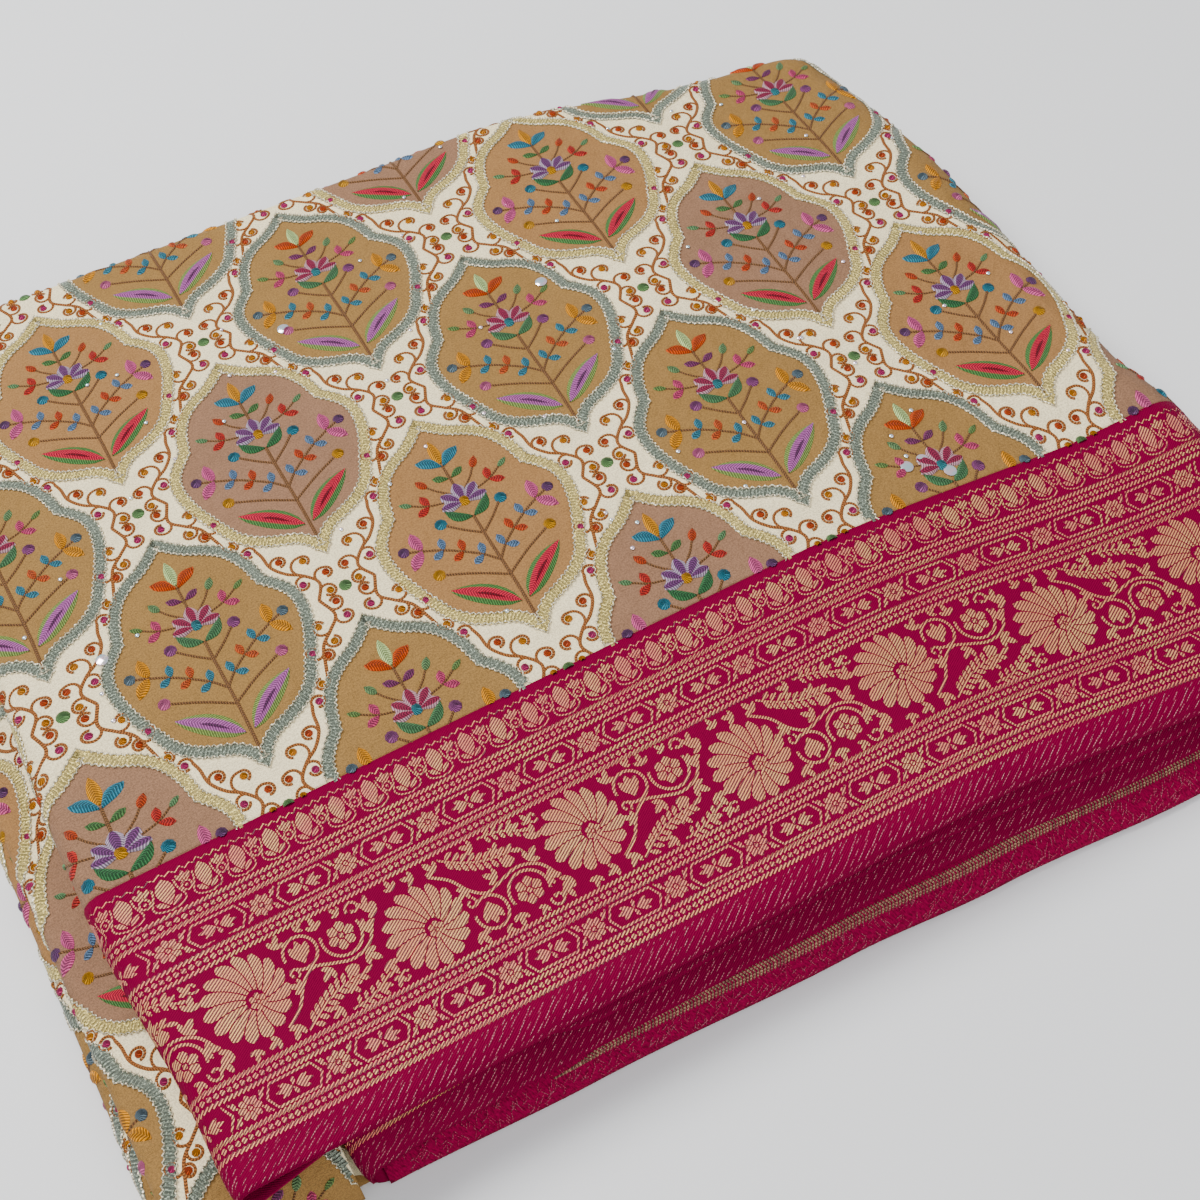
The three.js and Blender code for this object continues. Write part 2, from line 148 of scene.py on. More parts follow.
# Lattice: right half of a medallion's outline along the middle of its band, in arcs between cusps
OUTLINE = [
    [(0, 38.4), (2.4, 35.6), (6.6, 32.0), (11.4, 29.2), (15.6, 25.4), (18.7, 19.6), (20.4, 12.8)],
    [(20.4, 12.8), (23.2, 9.8), (25.9, 5.6), (26.7, 0), (25.4, -7.2), (22.8, -13.8), (20.6, -18.8)],
    [(20.6, -18.8), (18.8, -22.2), (14.8, -26.0), (9.8, -28.6), (5.0, -30.6), (1.8, -33.6), (0, -37.2)],
]
BAND_WIDTH = 3.3

# Threads: distance from one to the next, and the step of the slanted twill along and across
CREPE_PITCH = 0.42
SATIN_PITCH = 0.5
ZARI_PITCH = 0.66
FLOSS_PITCH = 0.74
CRIMP_PITCH = 0.95
TWILL = (0.545, 0.839)
FLOAT_RISE = 0.05

# Woven border: one repeat and the lines in it
PITCH = 89.0
GUARDS = (-14.0, -26.2, -55.9, -67.6)
CHAINS = (-20.1, -61.8)
MAIN = -41.1

# Camera, in the cloth's own frame, and the table
CAMERA_AT = (14.34, -285.81, 452.53)
CAMERA_RIGHT = (0.87927, -0.46992, -0.07782)
CAMERA_UP = (0.42543, 0.70130, 0.57201)
CAMERA_BACK = (-0.21422, -0.53606, 0.81655)
CAMERA_LENS = 64.5
TABLE_HALF = 14.0
TABLE_CLEAR = 0.00005
ROOM_LIGHT = 0.5
ROOM_TINT = (0.9, 0.93, 1.0)


def ease(value):
    share = np.clip(value, 0.0, 1.0)
    return share * share * (3 - 2 * share)


def mix(a, b, share):
    return a + (b - a) * share


def along(table, x, column):
    """A column of a table at any x between its stations, eased as the solids are."""
    x = np.asarray(x, float)
    rows = np.array(table, float)
    k = np.clip(np.searchsorted(rows[:, 0], x, side="right") - 1, 0, len(rows) - 2)
    share = ease((x - rows[k, 0]) / (rows[k + 1, 0] - rows[k, 0]))
    return mix(rows[k, column], rows[k + 1, column], share)


def crown(t):
    return -CROWN_FALL * ((t - CROWN_LINE) / REPEAT_ACROSS) ** 2


def top_height(s, t):
    return crown(t) - DROOP * ease((s - 180) / 110)


def right_edge(y):
    return RIGHT_REACH + RIGHT_SWELL * ease((20 - y) / 50) - RIGHT_TUCK * ease((y - 100) / 75)


def back_edge(s):
    return BACK_LINE - BACK_SLANT * s - BACK_CORNER * (ease((s - 190) / 70) + ease((s - 270) / 60))


def left_blend(s):
    return ease((s - 5) / 35)


def back_radius(s):
    return mix(BACK_FOLD_RADIUS_LEFT, BACK_FOLD_RADIUS, left_blend(s))


def back_tangent(s):
    y = back_edge(s) - back_radius(s) - CLOTH / 2
    return y - CROWN_LEAN * crown(y)


def back_end(s):
    return back_tangent(s) + back_radius(s) * np.radians(mix(BACK_TURN_LEFT, BACK_TURN, left_blend(s)))


BACK_LEFT = float(back_edge(LEFT_FOLD_X))


def place():
    """The step from the cloth's own frame to the row frame, read from one solid's box."""
    low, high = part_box("lower_field")
    left = LOWER_EDGE_X - LOWER_FOLD_RADIUS - CLOTH / 2
    return np.array([low.x / MM - left, high.y / MM - (BACK_LEFT - 1), -FLOOR])


SHIFT = place()


def across_profile(s, t):
    """y, the depth of a turned-in fold and the level at which the fold starts."""
    lip_radius = LIP_LENGTH / np.radians(mix(LIP_TURN_LEFT, LIP_TURN, left_blend(s)))
    sway = -FRONT_SWAY * ease((s - 190) / 100) * ease((30 - t) / 60)
    lip_angle = np.maximum(-BORDER_FLAT - t, 0) / lip_radius
    tangent = back_tangent(s)
    back_angle = np.maximum(t - tangent, 0) / back_radius(s)
    level = np.clip(t, -BORDER_FLAT, tangent)
    y = level + CROWN_LEAN * crown(level) + sway * (t < tangent)
    y = y - lip_radius * np.sin(lip_angle) + back_radius(s) * np.sin(back_angle)
    depth = lip_radius * (1 - np.cos(lip_angle)) + back_radius(s) * (1 - np.cos(back_angle))
    return y, -depth, level


def top_point(s, t):
    """The top layer's mid surface: it curls under at the left and wraps down at the right."""
    y, depth, level = across_profile(s, t)
    wrap_radius = (crown(level) - DROOP - BASE) / 2
    wrap_x = right_edge(y) - wrap_radius
    left_turn = np.maximum(LEFT_FOLD_X - s, 0) / LEFT_FOLD_RADIUS
    left_angle = np.minimum(left_turn, math.pi)
    left_run = np.maximum(left_turn - math.pi, 0) * LEFT_FOLD_RADIUS
    left_radius = LEFT_FOLD_RADIUS + depth
    right_turn = np.maximum(s - wrap_x, 0) / wrap_radius
    right_angle = np.minimum(right_turn, math.pi)
    right_run = np.maximum(right_turn - math.pi, 0) * wrap_radius
    right_radius = wrap_radius + depth
    left, right = s < LEFT_FOLD_X, s > wrap_x
    x = np.where(left, LEFT_FOLD_X - left_radius * np.sin(left_angle) + left_run, s)
    x = np.where(right, wrap_x + right_radius * np.sin(right_angle) - right_run, x)
    left_z = top_height(LEFT_FOLD_X, level) - LEFT_FOLD_RADIUS + left_radius * np.cos(left_angle)
    z = np.where(left, left_z, top_height(s, level) + depth)
    z = np.where(right, BASE + wrap_radius + right_radius * np.cos(right_angle), z)
    y = y + left_run * RETURN_SKEW * ease((20 - t) / 90)
    return np.stack([x, y, z], -1)


def right_end(t):
    """The value of s at which the top layer's return below the right wrap ends."""
    level = np.maximum(t, -BORDER_FLAT)
    wrap_radius = (crown(level) - DROOP - BASE) / 2
    y = level + CROWN_LEAN * crown(level)
    return right_edge(y) + wrap_radius * (math.pi - 1) + RIGHT_RETURN


def front_curve(root_z, brow_y, brow_z, edge_y, edge_z, share):
    """y and z on the way from a root inside the stack, over a brow, to an edge."""
    weights = (1 - share) ** 2, 2 * (1 - share) * share, share**2
    y = weights[0] * FRONT_ROOT_Y + weights[1] * brow_y + weights[2] * edge_y
    return y, weights[0] * root_z + weights[1] * brow_z + weights[2] * edge_z


def middle_layer(x, share):
    y, z = along(MIDDLE_EDGE, x, 1), along(MIDDLE_EDGE, x, 2)
    root = top_height(x, FRONT_ROOT_Y) - MIDDLE_ROOT_DEPTH
    return front_curve(root, y + 8, mix(root, z, 0.52), y, z, share)


def second_layer(x, share):
    y, z = along(SECOND_EDGE, x, 1), along(SECOND_EDGE, x, 2)
    root = top_height(x, FRONT_ROOT_Y) - SECOND_ROOT_DEPTH
    reach = mix(5.5, 9, ease((x - 36) / 40))
    fall = mix(0.1, 0.5, ease((x - 36) / 30))
    return front_curve(root, y + reach, mix(root, z, fall), y, z, share)


def bottom_layer(x, share):
    y, z = along(BOTTOM_EDGE, x, 1), along(BOTTOM_EDGE, x, 2)
    root = top_height(x, FRONT_ROOT_Y) - BOTTOM_ROOT_DEPTH
    return front_curve(root, y + 0.6, along(SECOND_EDGE, x, 2) + 0.5, y, z, share)


def under_surface(x, t):
    side = ease((UNDER_SLOPE_X - x) / (UNDER_SLOPE_X - UNDER_EDGE_X))
    return mix(top_height(LEFT_FOLD_X, t) - UNDER_DEPTH, UNDER_EDGE_Z, side)


class Value:
    """A shader socket whose operators add Math nodes."""

    def __init__(self, graph, socket):
        self.graph = graph
        self.socket = socket

    def math(self, operation, *others):
        inputs = dict(enumerate([self, *others]))
        return self.graph.value("ShaderNodeMath", {"operation": operation}, inputs)

    def __add__(self, other):
        return self.math("ADD", other)

    __radd__ = __add__

    def __mul__(self, other):
        return self.math("MULTIPLY", other)

    def __sub__(self, other):
        return self.math("SUBTRACT", other)

    def __rsub__(self, other):
        return self.graph.value("ShaderNodeMath", {"operation": "SUBTRACT"}, {0: other, 1: self})

    def __truediv__(self, other):
        return self.math("DIVIDE", other)

    def __gt__(self, other):
        return self.math("GREATER_THAN", other)

    def __abs__(self):
        return self.math("ABSOLUTE")

    def floor(self):
        return self.math("FLOOR")

    def wave(self):
        """A cosine of turns, from 0 to 1."""
        return (self * math.tau).math("COSINE") * 0.5 + 0.5

    def between(self, low, high):
        """A smooth step from 0 at low to 1 at high."""
        settings = {"interpolation_type": "SMOOTHSTEP", "clamp": True}
        return self.graph.value("ShaderNodeMapRange", settings, {0: self, 1: low, 2: high})


class Graph:
    """The nodes of one tree."""

    def __init__(self, tree):
        self.tree = tree

    def node(self, kind, settings=None, inputs=None):
        made = self.tree.nodes.new(kind)
        for name, value in (settings or {}).items():
            setattr(made, name, value)
        for name, value in (inputs or {}).items():
            if isinstance(value, Value):
                value = value.socket
            if isinstance(value, bpy.types.NodeSocket):
                self.tree.links.new(value, made.inputs[name])
            else:
                made.inputs[name].default_value = value
        return made

    def value(self, kind, settings=None, inputs=None, output=0):
        return Value(self, self.node(kind, settings, inputs).outputs[output])

    def mix(self, share, a, b):
        colours = [v if isinstance(v, Value) else (*v, 1.0) for v in (a, b)]
        settings = {"data_type": "RGBA", "clamp_factor": True}
        return self.value("ShaderNodeMix", settings, {0: share, 6: colours[0], 7: colours[1]}, 2)

    def shade(self, colour, share):
        """A colour made lighter or darker by a share."""
        return self.value("ShaderNodeHueSaturation", {}, {"Color": colour, "Value": share})

    def vector(self, x, y, z=0.0):
        return self.value("ShaderNodeCombineXYZ", {}, {0: x, 1: y, 2: z})

    def split(self, vector):
        parts = self.node("ShaderNodeSeparateXYZ", {}, {0: vector}).outputs
        return [Value(self, part) for part in parts]

    def noise(self, place, scale, detail=2.0):
        inputs = {"Vector": place, "Scale": scale, "Detail": detail}
        return self.value("ShaderNodeTexNoise", {}, inputs)

    def bump(self, height, distance):
        inputs = {"Height": height, "Distance": distance, "Strength": 1.0}
        return self.value("ShaderNodeBump", {}, inputs)

    def uv(self):
        """s and t of the cloth in millimetres."""
        u, v, _ = self.split(self.value("ShaderNodeUVMap", {"uv_map": "cloth"}))
        return u * UV_SPAN - UV_FIRST[0], v * UV_SPAN - UV_FIRST[1]

    def attribute(self, name, output="Vector"):
        return self.value("ShaderNodeAttribute", {"attribute_name": name}, {}, output)

    def stitch(self):
        """Distance along a stitched shape and from its middle line, and its dye."""
        run, over, _ = self.split(self.attribute("stitch"))
        return run, over, self.attribute("tint", "Color")

    def lay(self):
        """s and t where a stitch lies, in millimetres."""
        s, t, _ = self.split(self.attribute("lay"))
        return s / MM, t / MM


def colour(red, green, blue):
    """A colour given as it looks on a screen, 0 to 255, as the linear values that nodes take."""
    return tuple(((c / 255 + 0.055) / 1.055) ** 2.4 if c > 10 else c / 3295 for c in (red, green, blue))


# Dyes and metals, as linear values
IVORY = (0.97, 0.83, 0.51)
OCHRE = (0.28, 0.152, 0.042)
MAUVE = (0.262, 0.138, 0.076)
PEACH = (0.315, 0.157, 0.052)
CRIMSON = (0.228, 0.0, 0.038)
CRIMSON_DEEP = (0.12, 0.0, 0.02)
CRIMSON_GAP = (0.13, 0.0, 0.02)
WRONG_LIGHT = (0.30, 0.0, 0.048)
WRONG_DARK = (0.09, 0.0, 0.014)
ZARI = (0.88, 0.25, 0.14)
ZARI_GOLD = (0.88, 0.34, 0.13)
ZARI_WARM = (0.88, 0.5, 0.16)
STEM = (0.24, 0.11, 0.04)
VINE = (0.42, 0.14, 0.03)
RUST = (0.67, 0.08, 0.01)
MAGENTA = (0.62, 0.03, 0.18)
AMBER = (0.80, 0.27, 0.0)
SAGE = (0.17, 0.36, 0.12)
BAND_GREEN = (0.215, 0.25, 0.19)
BAND_GOLD = (0.68, 0.53, 0.17)
TINSEL = colour(252, 240, 205)

# Dyes of the two kinds of sprig
GREEN_WAY = {
    "rim": (0.25, 0.36, 0.08), "heart": (0.46, 0.12, 0.38), "top": (0.72, 0.08, 0.0),
    "spire": (0.70, 0.92, 0.34), "collar": (0.26, 0.05, 0.16), "slim": (0.18, 0.33, 0.13),
    "pair": (0.72, 0.07, 0.20), "tip": (0.19, 0.33, 0.09), "flower": (0.50, 0.03, 0.11),
    "eye": (0.05, 0.32, 0.37), "calyx": (0.09, 0.25, 0.10), "bud": (0.35, 0.09, 0.27),
    "double": (0.88, 0.33, 0.0), "end": (0.15, 0.23, 0.28), "twig": (0.05, 0.27, 0.37),
    "twig_mid": (0.70, 0.11, 0.02), "low": (0.78, 0.16, 0.36),
}
GOLD_WAY = {
    "rim": (0.09, 0.25, 0.06), "heart": (0.66, 0.01, 0.05), "top": (0.04, 0.27, 0.38),
    "spire": (0.90, 0.35, 0.0), "collar": (0.10, 0.25, 0.07), "slim": (0.62, 0.07, 0.01),
    "pair": (0.66, 0.03, 0.02), "tip": (0.17, 0.37, 0.15), "flower": (0.28, 0.08, 0.28),
    "eye": (0.86, 0.38, 0.0), "calyx": (0.05, 0.21, 0.07), "bud": (0.03, 0.26, 0.36),
    "double": (0.82, 0.12, 0.33), "end": (0.19, 0.07, 0.20), "twig": (0.15, 0.27, 0.45),
    "twig_mid": (0.67, 0.07, 0.01), "low": (0.79, 0.35, 0.0),
}


def medallion_mask(graph, u, v):
    """1 inside the medallions of one half of the lattice, and 1 for its odd ones."""
    i, j = (u + 0.5).floor(), (v + 0.5).floor()
    x, y = abs(u - i) * REPEAT_ALONG, (v - j) * REPEAT_ACROSS
    curve = graph.node("ShaderNodeFloatCurve", {}, {"Value": y / REPEAT_ACROSS + 0.5})
    line = curve.mapping.curves[0]
    outline = OUTLINE[0] + OUTLINE[1][1:] + OUTLINE[2][1:]
    line.points[0].location = (0.0, 0.0)
    line.points[1].location = (1.0, 0.0)
    for out, up in reversed(outline):
        line.points.new(up / REPEAT_ACROSS + 0.5, out / REPEAT_ALONG)
    for point in line.points:
        point.handle_type = "VECTOR"
    curve.mapping.update()
    inside = (Value(graph, curve.outputs[0]) * REPEAT_ALONG) > x
    return inside, (i + j).math("FLOORED_MODULO", 2.0)


def field_surface(graph):
    """Ivory silk crepe with tinted grounds inside the lattice."""
    s, t = graph.uv()
    u, v = s / REPEAT_ALONG, t / REPEAT_ACROSS
    first, first_odd = medallion_mask(graph, u, v)
    second, second_odd = medallion_mask(graph, u - 0.5, v - 0.5)
    place = graph.vector(s, t)
    cloud = graph.noise(place, 0.05, 3.0)
    pucker = graph.noise(place, 0.22)
    grain = graph.noise(place, 2.2, 3.0)
    slub = graph.noise(graph.vector(s * 0.25, t * 3.4), 1.0)
    dyes = bpy.context.scene.saree
    tone = graph.mix(first, tuple(dyes.ivory), graph.mix(first_odd, tuple(dyes.mauve), tuple(dyes.ochre)))
    tone = graph.mix(second, tone, graph.mix(second_odd, tuple(dyes.ochre), tuple(dyes.peach)))
    fleck = grain.between(0.36, 0.64)
    threads = (s / CREPE_PITCH).wave() * 0.5 + (t / CREPE_PITCH).wave() * 0.5
    relief = threads * 0.14 + grain * 0.5 + slub * 0.25 + pucker * 3.0
    return {
        "Base Color": graph.shade(tone, 0.61 + cloud * 0.2 + fleck * 0.36 + slub * 0.14 + pucker * 0.08),
        "Roughness": 0.66 + grain * 0.2,
        "Normal": graph.bump(relief, 0.0004),
        "Specular IOR Level": 0.2,
    }


def border_surface(graph):
    """Crimson satin with a fine slanted twill."""
    s, t = graph.uv()
    cloud = graph.noise(graph.vector(s, t), 0.06, 3.0)
    slub = graph.noise(graph.vector(s * 2.6, t * 0.3), 1.0)
    twill = ((s * TWILL[0] - t * TWILL[1]) / SATIN_PITCH).wave()
    share = 0.02 + cloud * 0.3 + slub * 0.25 + twill * 0.2
    return {
        "Base Color": graph.mix(share, tuple(bpy.context.scene.saree.crimson), CRIMSON_DEEP),
        "Roughness": 0.5 + slub * 0.12,
        "Normal": graph.bump(twill * 0.6 + slub * 0.5, 0.00016),
        "Specular IOR Level": 0.02,
    }


def wrong_surface(graph):
    """The border's wrong side: crimson with the hairs of its floats."""
    s, t = graph.uv()
    hair = graph.noise(graph.vector(s * 2.2 + t, t * 0.8), 1.0, 3.0)
    cloud = graph.noise(graph.vector(s * 0.6, t), 0.15, 3.0)
    return {
        "Base Color": graph.mix(hair.between(0.4, 0.7) * 0.7 + cloud * 0.2, WRONG_LIGHT, WRONG_DARK),
        "Roughness": 0.7 + hair * 0.15,
        "Normal": graph.bump(hair + cloud, 0.0005),
        "Specular IOR Level": 0.05,
    }


def floss_surface(graph):
    """Silk floss in satin stitch: threads slant out from the middle line of each petal."""
    run, over, tint = graph.stitch()
    fray = graph.noise(graph.vector(run * 2.0, over * 1.2), 1.0)
    threads = ((run + abs(over) * 0.7 + fray * 0.3) / FLOSS_PITCH).wave()
    return {
        "Base Color": graph.shade(tint, 0.16 + threads * 0.86 + fray * 0.3),
        "Roughness": 0.42 + fray * 0.15,
        "Normal": graph.bump(threads + fray * 0.4, 0.0003),
        "Specular IOR Level": 0.22,
    }


def zari_surface(graph):
    """Flat gold thread woven over crimson, with a dark slanted line between its floats."""
    s, t = graph.lay()
    place = graph.vector(s, t)
    slub = graph.noise(place, 1.6)
    floats = ((s * TWILL[0] - t * TWILL[1]) / ZARI_PITCH + slub * 0.22).wave()
    gap = floats.between(0.72, 0.3)
    warm = graph.noise(place, 0.09).between(0.4, 0.7) * 0.8
    gold = graph.mix(warm, graph.attribute("tint", "Color"), ZARI_WARM)
    return {
        "Base Color": graph.mix(gap, graph.shade(gold, 0.9 + slub * 0.5), CRIMSON_GAP),
        "Roughness": 0.34 + slub * 0.2,
        "Metallic": 0.32 - gap * 0.32,
        "Normal": graph.bump(floats + slub * 0.3, 0.00025),
    }


def tinsel_surface(graph):
    """Crimped metal thread, whose glints are painted into its colour as bright specks where a noise peaks."""
    run, over, tint = graph.stitch()
    jitter_and_painted_glint = graph.noise(graph.vector(*graph.lay()), 1.9, 1.0)
    crimp = ((run + over * 0.2 + jitter_and_painted_glint * 0.5) / CRIMP_PITCH).wave()
    return {
        # Painted glints: the colour is made up to 1.7 times brighter at random specks, standing in for the
        # sparkle of light on the metal.
        "Base Color": graph.shade(tint, 0.5 + crimp * 0.5 + jitter_and_painted_glint.between(0.54, 0.68) * 1.7),
        "Roughness": 0.3 + jitter_and_painted_glint.between(0.4, 0.6) * 0.3,
        "Metallic": 0.3,
        "Normal": graph.bump(crimp * 0.7 + jitter_and_painted_glint, 0.0006),
    }


def sequin_surface(graph):
    """Mother-of-pearl foil with a shift of tint from rim to rim."""
    shift = graph.noise(graph.vector(*graph.lay()), 0.5, 1.0).between(0.35, 0.65)
    tone = graph.mix(shift, colour(255, 226, 236), colour(214, 240, 244))
    return {"Base Color": tone, "Roughness": 0.16, "Metallic": 0.75, "Coat Weight": 0.5}


def floor_surface(graph):
    """Pale matt table top."""
    mottle = graph.noise(graph.value("ShaderNodeTexCoord", {}, {}, "Object"), 3.0, 3.0)
    tone = graph.mix(mottle, colour(243, 243, 242), colour(239, 239, 239))
    return {"Base Color": tone, "Roughness": 0.5, "Specular IOR Level": 0.3}


SURFACES = {
    "embroidered_silk": field_surface,
    "brocade_silk": border_surface,
    "brocade_wrong_side": wrong_surface,
    "silk_floss": floss_surface,
    "gold_zari": zari_surface,
    "crimped_tinsel": tinsel_surface,
    "sequin_foil": sequin_surface,
    "pale_table": floor_surface,
}


def finish(name):
    """The named material, made when it is first asked for."""
    if name in bpy.data.materials:
        return bpy.data.materials[name]
    made = bpy.data.materials.new(name)
    made.use_nodes = True
    surface = made.node_tree.nodes["Principled BSDF"]
    for socket, value in SURFACES[name](Graph(made.node_tree)).items():
        if isinstance(value, Value):
            made.node_tree.links.new(value.socket, surface.inputs[socket])
        else:
            surface.inputs[socket].default_value = value
    return made


def grid_faces(rows, cols, wrap=False):
    """The corner numbers of each face in a grid of points."""
    at = np.arange(rows * cols).reshape(rows, cols)
    if wrap:
        at = np.hstack([at, at[:, :1]])
    return np.stack([at[:-1, :-1], at[:-1, 1:], at[1:, 1:], at[1:, :-1]], -1).reshape(-1, 4)


def mesh_object(name, points, faces, attributes=None, s=None, t=None):
    """A mesh object from arrays, with its point attributes and its place on the flat cloth."""
    mesh = bpy.data.meshes.new(name)
    mesh.from_pydata(np.reshape(points, (-1, 3)).tolist(), [], np.asarray(faces).tolist())
    if s is not None:
        uv = np.stack([(s + UV_FIRST[0]) / UV_SPAN, (t + UV_FIRST[1]) / UV_SPAN], -1).reshape(-1, 2)
        layer = mesh.uv_layers.new(name="cloth")
        corners = np.zeros(len(mesh.loops), np.int32)
        mesh.loops.foreach_get("vertex_index", corners)
        layer.data.foreach_set("uv", uv.astype(np.float32)[corners].ravel())
    for key, values in (attributes or {}).items():
        kind, field = ("FLOAT_COLOR", "color") if values.shape[-1] == 4 else ("FLOAT_VECTOR", "vector")
        layer = mesh.attributes.new(key, kind, "POINT")
        layer.data.foreach_set(field, values.astype(np.float32).ravel())
    mesh.shade_smooth()
    made = bpy.data.objects.new(name, mesh)
    bpy.context.scene.collection.objects.link(made)
    return made


def outward(points, side):
    """Unit normals of a grid of points, on the side that shows."""
    normal = np.cross(np.gradient(points, axis=0), np.gradient(points, axis=1)) * side
    return normal / np.maximum(np.linalg.norm(normal, axis=2, keepdims=True), 1e-9)


def cloth_piece(name, points, s, t, side, surface, lift=0.0):
    """An open sheet on a solid's outer side, from a grid of mid-surface points and its s and t."""
    outer = points + outward(points, side) * (CLOTH / 2 + np.asarray(lift))[..., None]
    faces = grid_faces(*points.shape[:2])
    if side > 0:
        faces = faces[:, [0, 3, 2, 1]]
    made = mesh_object(name, (outer + SHIFT) * MM, faces, {"out": outward(outer, side)}, s, t)
    made.data.materials.append(finish(surface))
    made["flat"] = [float(np.ptp(s)) * MM, float(np.ptp(t)) * MM]
    return made


def soft_creases(s, t, creases):
    """Height of soft ridges and troughs: each runs between two points with a width and a height."""
    height = np.zeros(np.broadcast(s, t).shape)
    for s0, t0, s1, t1, width, rise in creases:
        run = np.hypot(s1 - s0, t1 - t0)
        share = ((s - s0) * (s1 - s0) + (t - t0) * (t1 - t0)) / run**2
        off = ((s - s0) * (t1 - t0) - (t - t0) * (s1 - s0)) / run
        ends = ease(share / 0.3) * ease((1 - share) / 0.3)
        height += rise * ends * np.exp(-((off / width) ** 2))
    return height


# Soft creases: s and t of both ends, half width and rise
TOP_CREASES = [
    (262, 30, 322, -6, 9, 1.6), (250, 8, 318, -28, 7, -0.7), (236, 150, 300, 60, 10, -0.8),
    (150, 206, 262, 128, 12, 0.7), (20, 196, 120, 150, 10, -0.5), (0, 60, 60, 22, 8, 0.45),
    (-4, -8, 44, -60, 7, 0.5), (60, -30, 150, -66, 9, -0.4), (110, 30, 210, 8, 9, 0.4),
    (200, -20, 290, -62, 8, 0.5), (70, 120, 160, 70, 12, 0.4), (296, 170, 300, 90, 7, 0.7),
]
FRONT_CREASES = [(40, -70, 110, -79, 4, 0.5), (120, -79, 200, -68, 4, -0.5), (190, -70, 292, -79, 5, 0.6)]


def top_cloth(name, s, t, surface, lift=0.0):
    """A stretch of the top layer, whose left fold bulges outwards on both sides of the seam."""
    bulge = LEFT_BULGE * ease((t + 58) / 52) * mix(1, 0.25, ease((t - 10) / 70)) * ease((12 - s) / 20)
    points = top_point(s, t) - np.stack([bulge, 0 * bulge, 0 * bulge], -1)
    return cloth_piece(name, points, s, t, 1, surface, soft_creases(s, t, TOP_CREASES) + lift)


def make_field_cloth():
    share = np.linspace(0, 1, TOP_ROWS)[:, None]
    t = 120.0
    for _ in range(2):
        s = mix(LEFT_END, right_end(t), share)
        t = np.linspace(0, 1, 112) * back_end(s)
    return top_cloth("field_cloth", s, t, "embroidered_silk")


def make_border_cloth():
    t = np.linspace(-HEM, SEAM, 44) + np.zeros((TOP_ROWS, 1))
    s = mix(LEFT_END, right_end(t), np.linspace(0, 1, TOP_ROWS)[:, None])
    return top_cloth("border_cloth", s, t, "brocade_silk", SEAM_RISE * ease((t + 5) / 4))


def arc_lengths(y, z):
    """Distance from the last column of a set of profiles, going back along each."""
    steps = np.hypot(np.diff(y, axis=1), np.diff(z, axis=1))
    back = np.cumsum(steps[:, ::-1], axis=1)[:, ::-1]
    return np.concatenate([back, np.zeros((len(y), 1))], axis=1)


def front_grid(start, cols):
    """x and the share of the way down, for a layer that runs from one x to the right end."""
    x = np.linspace(start, FRONT_END_X, 150)[:, None] + np.zeros((1, cols))
    return x, np.linspace(0, 1, cols) + 0 * x


def make_middle_border():
    x, share = front_grid(MIDDLE_START_X, 18)
    y, z = middle_layer(x, share)
    t = arc_lengths(y, z) - HEM
    lift = soft_creases(x, t, FRONT_CREASES)
    return cloth_piece("middle_border_cloth", np.stack([x, y, z], -1), x, t, -1, "brocade_silk", lift)


def make_second_border():
    """The second layer of border down to its hem, with the fold at its left end."""
    x, share = front_grid(SECOND_FOLD_X, 20)
    high_y, high_z = second_layer(x, share)
    low_y, low_z = bottom_layer(x[:1], share[:1])
    turn = np.radians(np.linspace(4, 170, 16))[:, None]
    radius = np.hypot(high_y[:1] - low_y, high_z[:1] - low_z) / 2
    lift = (1 - np.cos(turn)) / 2
    points = np.stack([
        np.concatenate([SECOND_FOLD_X - radius * np.sin(turn), x]),
        np.concatenate([mix(low_y, high_y[:1], lift), high_y]),
        np.concatenate([mix(low_z, high_z[:1], lift), high_z]),
    ], -1)
    t = arc_lengths(points[..., 1], points[..., 2]) - HEM
    s = np.concatenate([SECOND_FOLD_X - (math.pi - turn) * radius, x])
    return cloth_piece("second_border_cloth", points, s, t, -1, "brocade_silk")


def make_second_return():
    """The second layer's return, wrong side out, down to the table."""
    x, share = front_grid(SECOND_FOLD_X - 0.4, 20)
    y, z = bottom_layer(x, share)
    t = WRONG_SIDE_T + arc_lengths(y, z)
    return cloth_piece("second_return_cloth", np.stack([x, y, z], -1), x, t, -1, "brocade_wrong_side")


def folded_strip(name, y, t, run, run_z, edge, radius, reach, turns, squash, offset):
    """A strip of field that runs left to an edge and turns back below itself."""
    edge_x, edge_z = edge
    still = np.zeros((len(y), 1))
    fold = np.radians(np.linspace(0, 180, turns)) + still
    back = reach * np.linspace(0, 1, 5)[1:] + still
    x = np.concatenate([run, edge_x - radius * np.sin(fold), edge_x + back], axis=1)
    z = np.concatenate([run_z, edge_z - radius * (1 - np.cos(fold)), edge_z - 2 * radius + 0 * back], axis=1)
    s = np.concatenate([run, edge_x - radius * fold, edge_x - radius * math.pi - back], axis=1)
    points = np.stack([x, y[:, None] + 0 * x, BASE + (z - BASE) * squash[:, None]], -1)
    return cloth_piece(name, points, s + offset[0], t[:, None] + offset[1] + 0 * s, -1, "embroidered_silk")


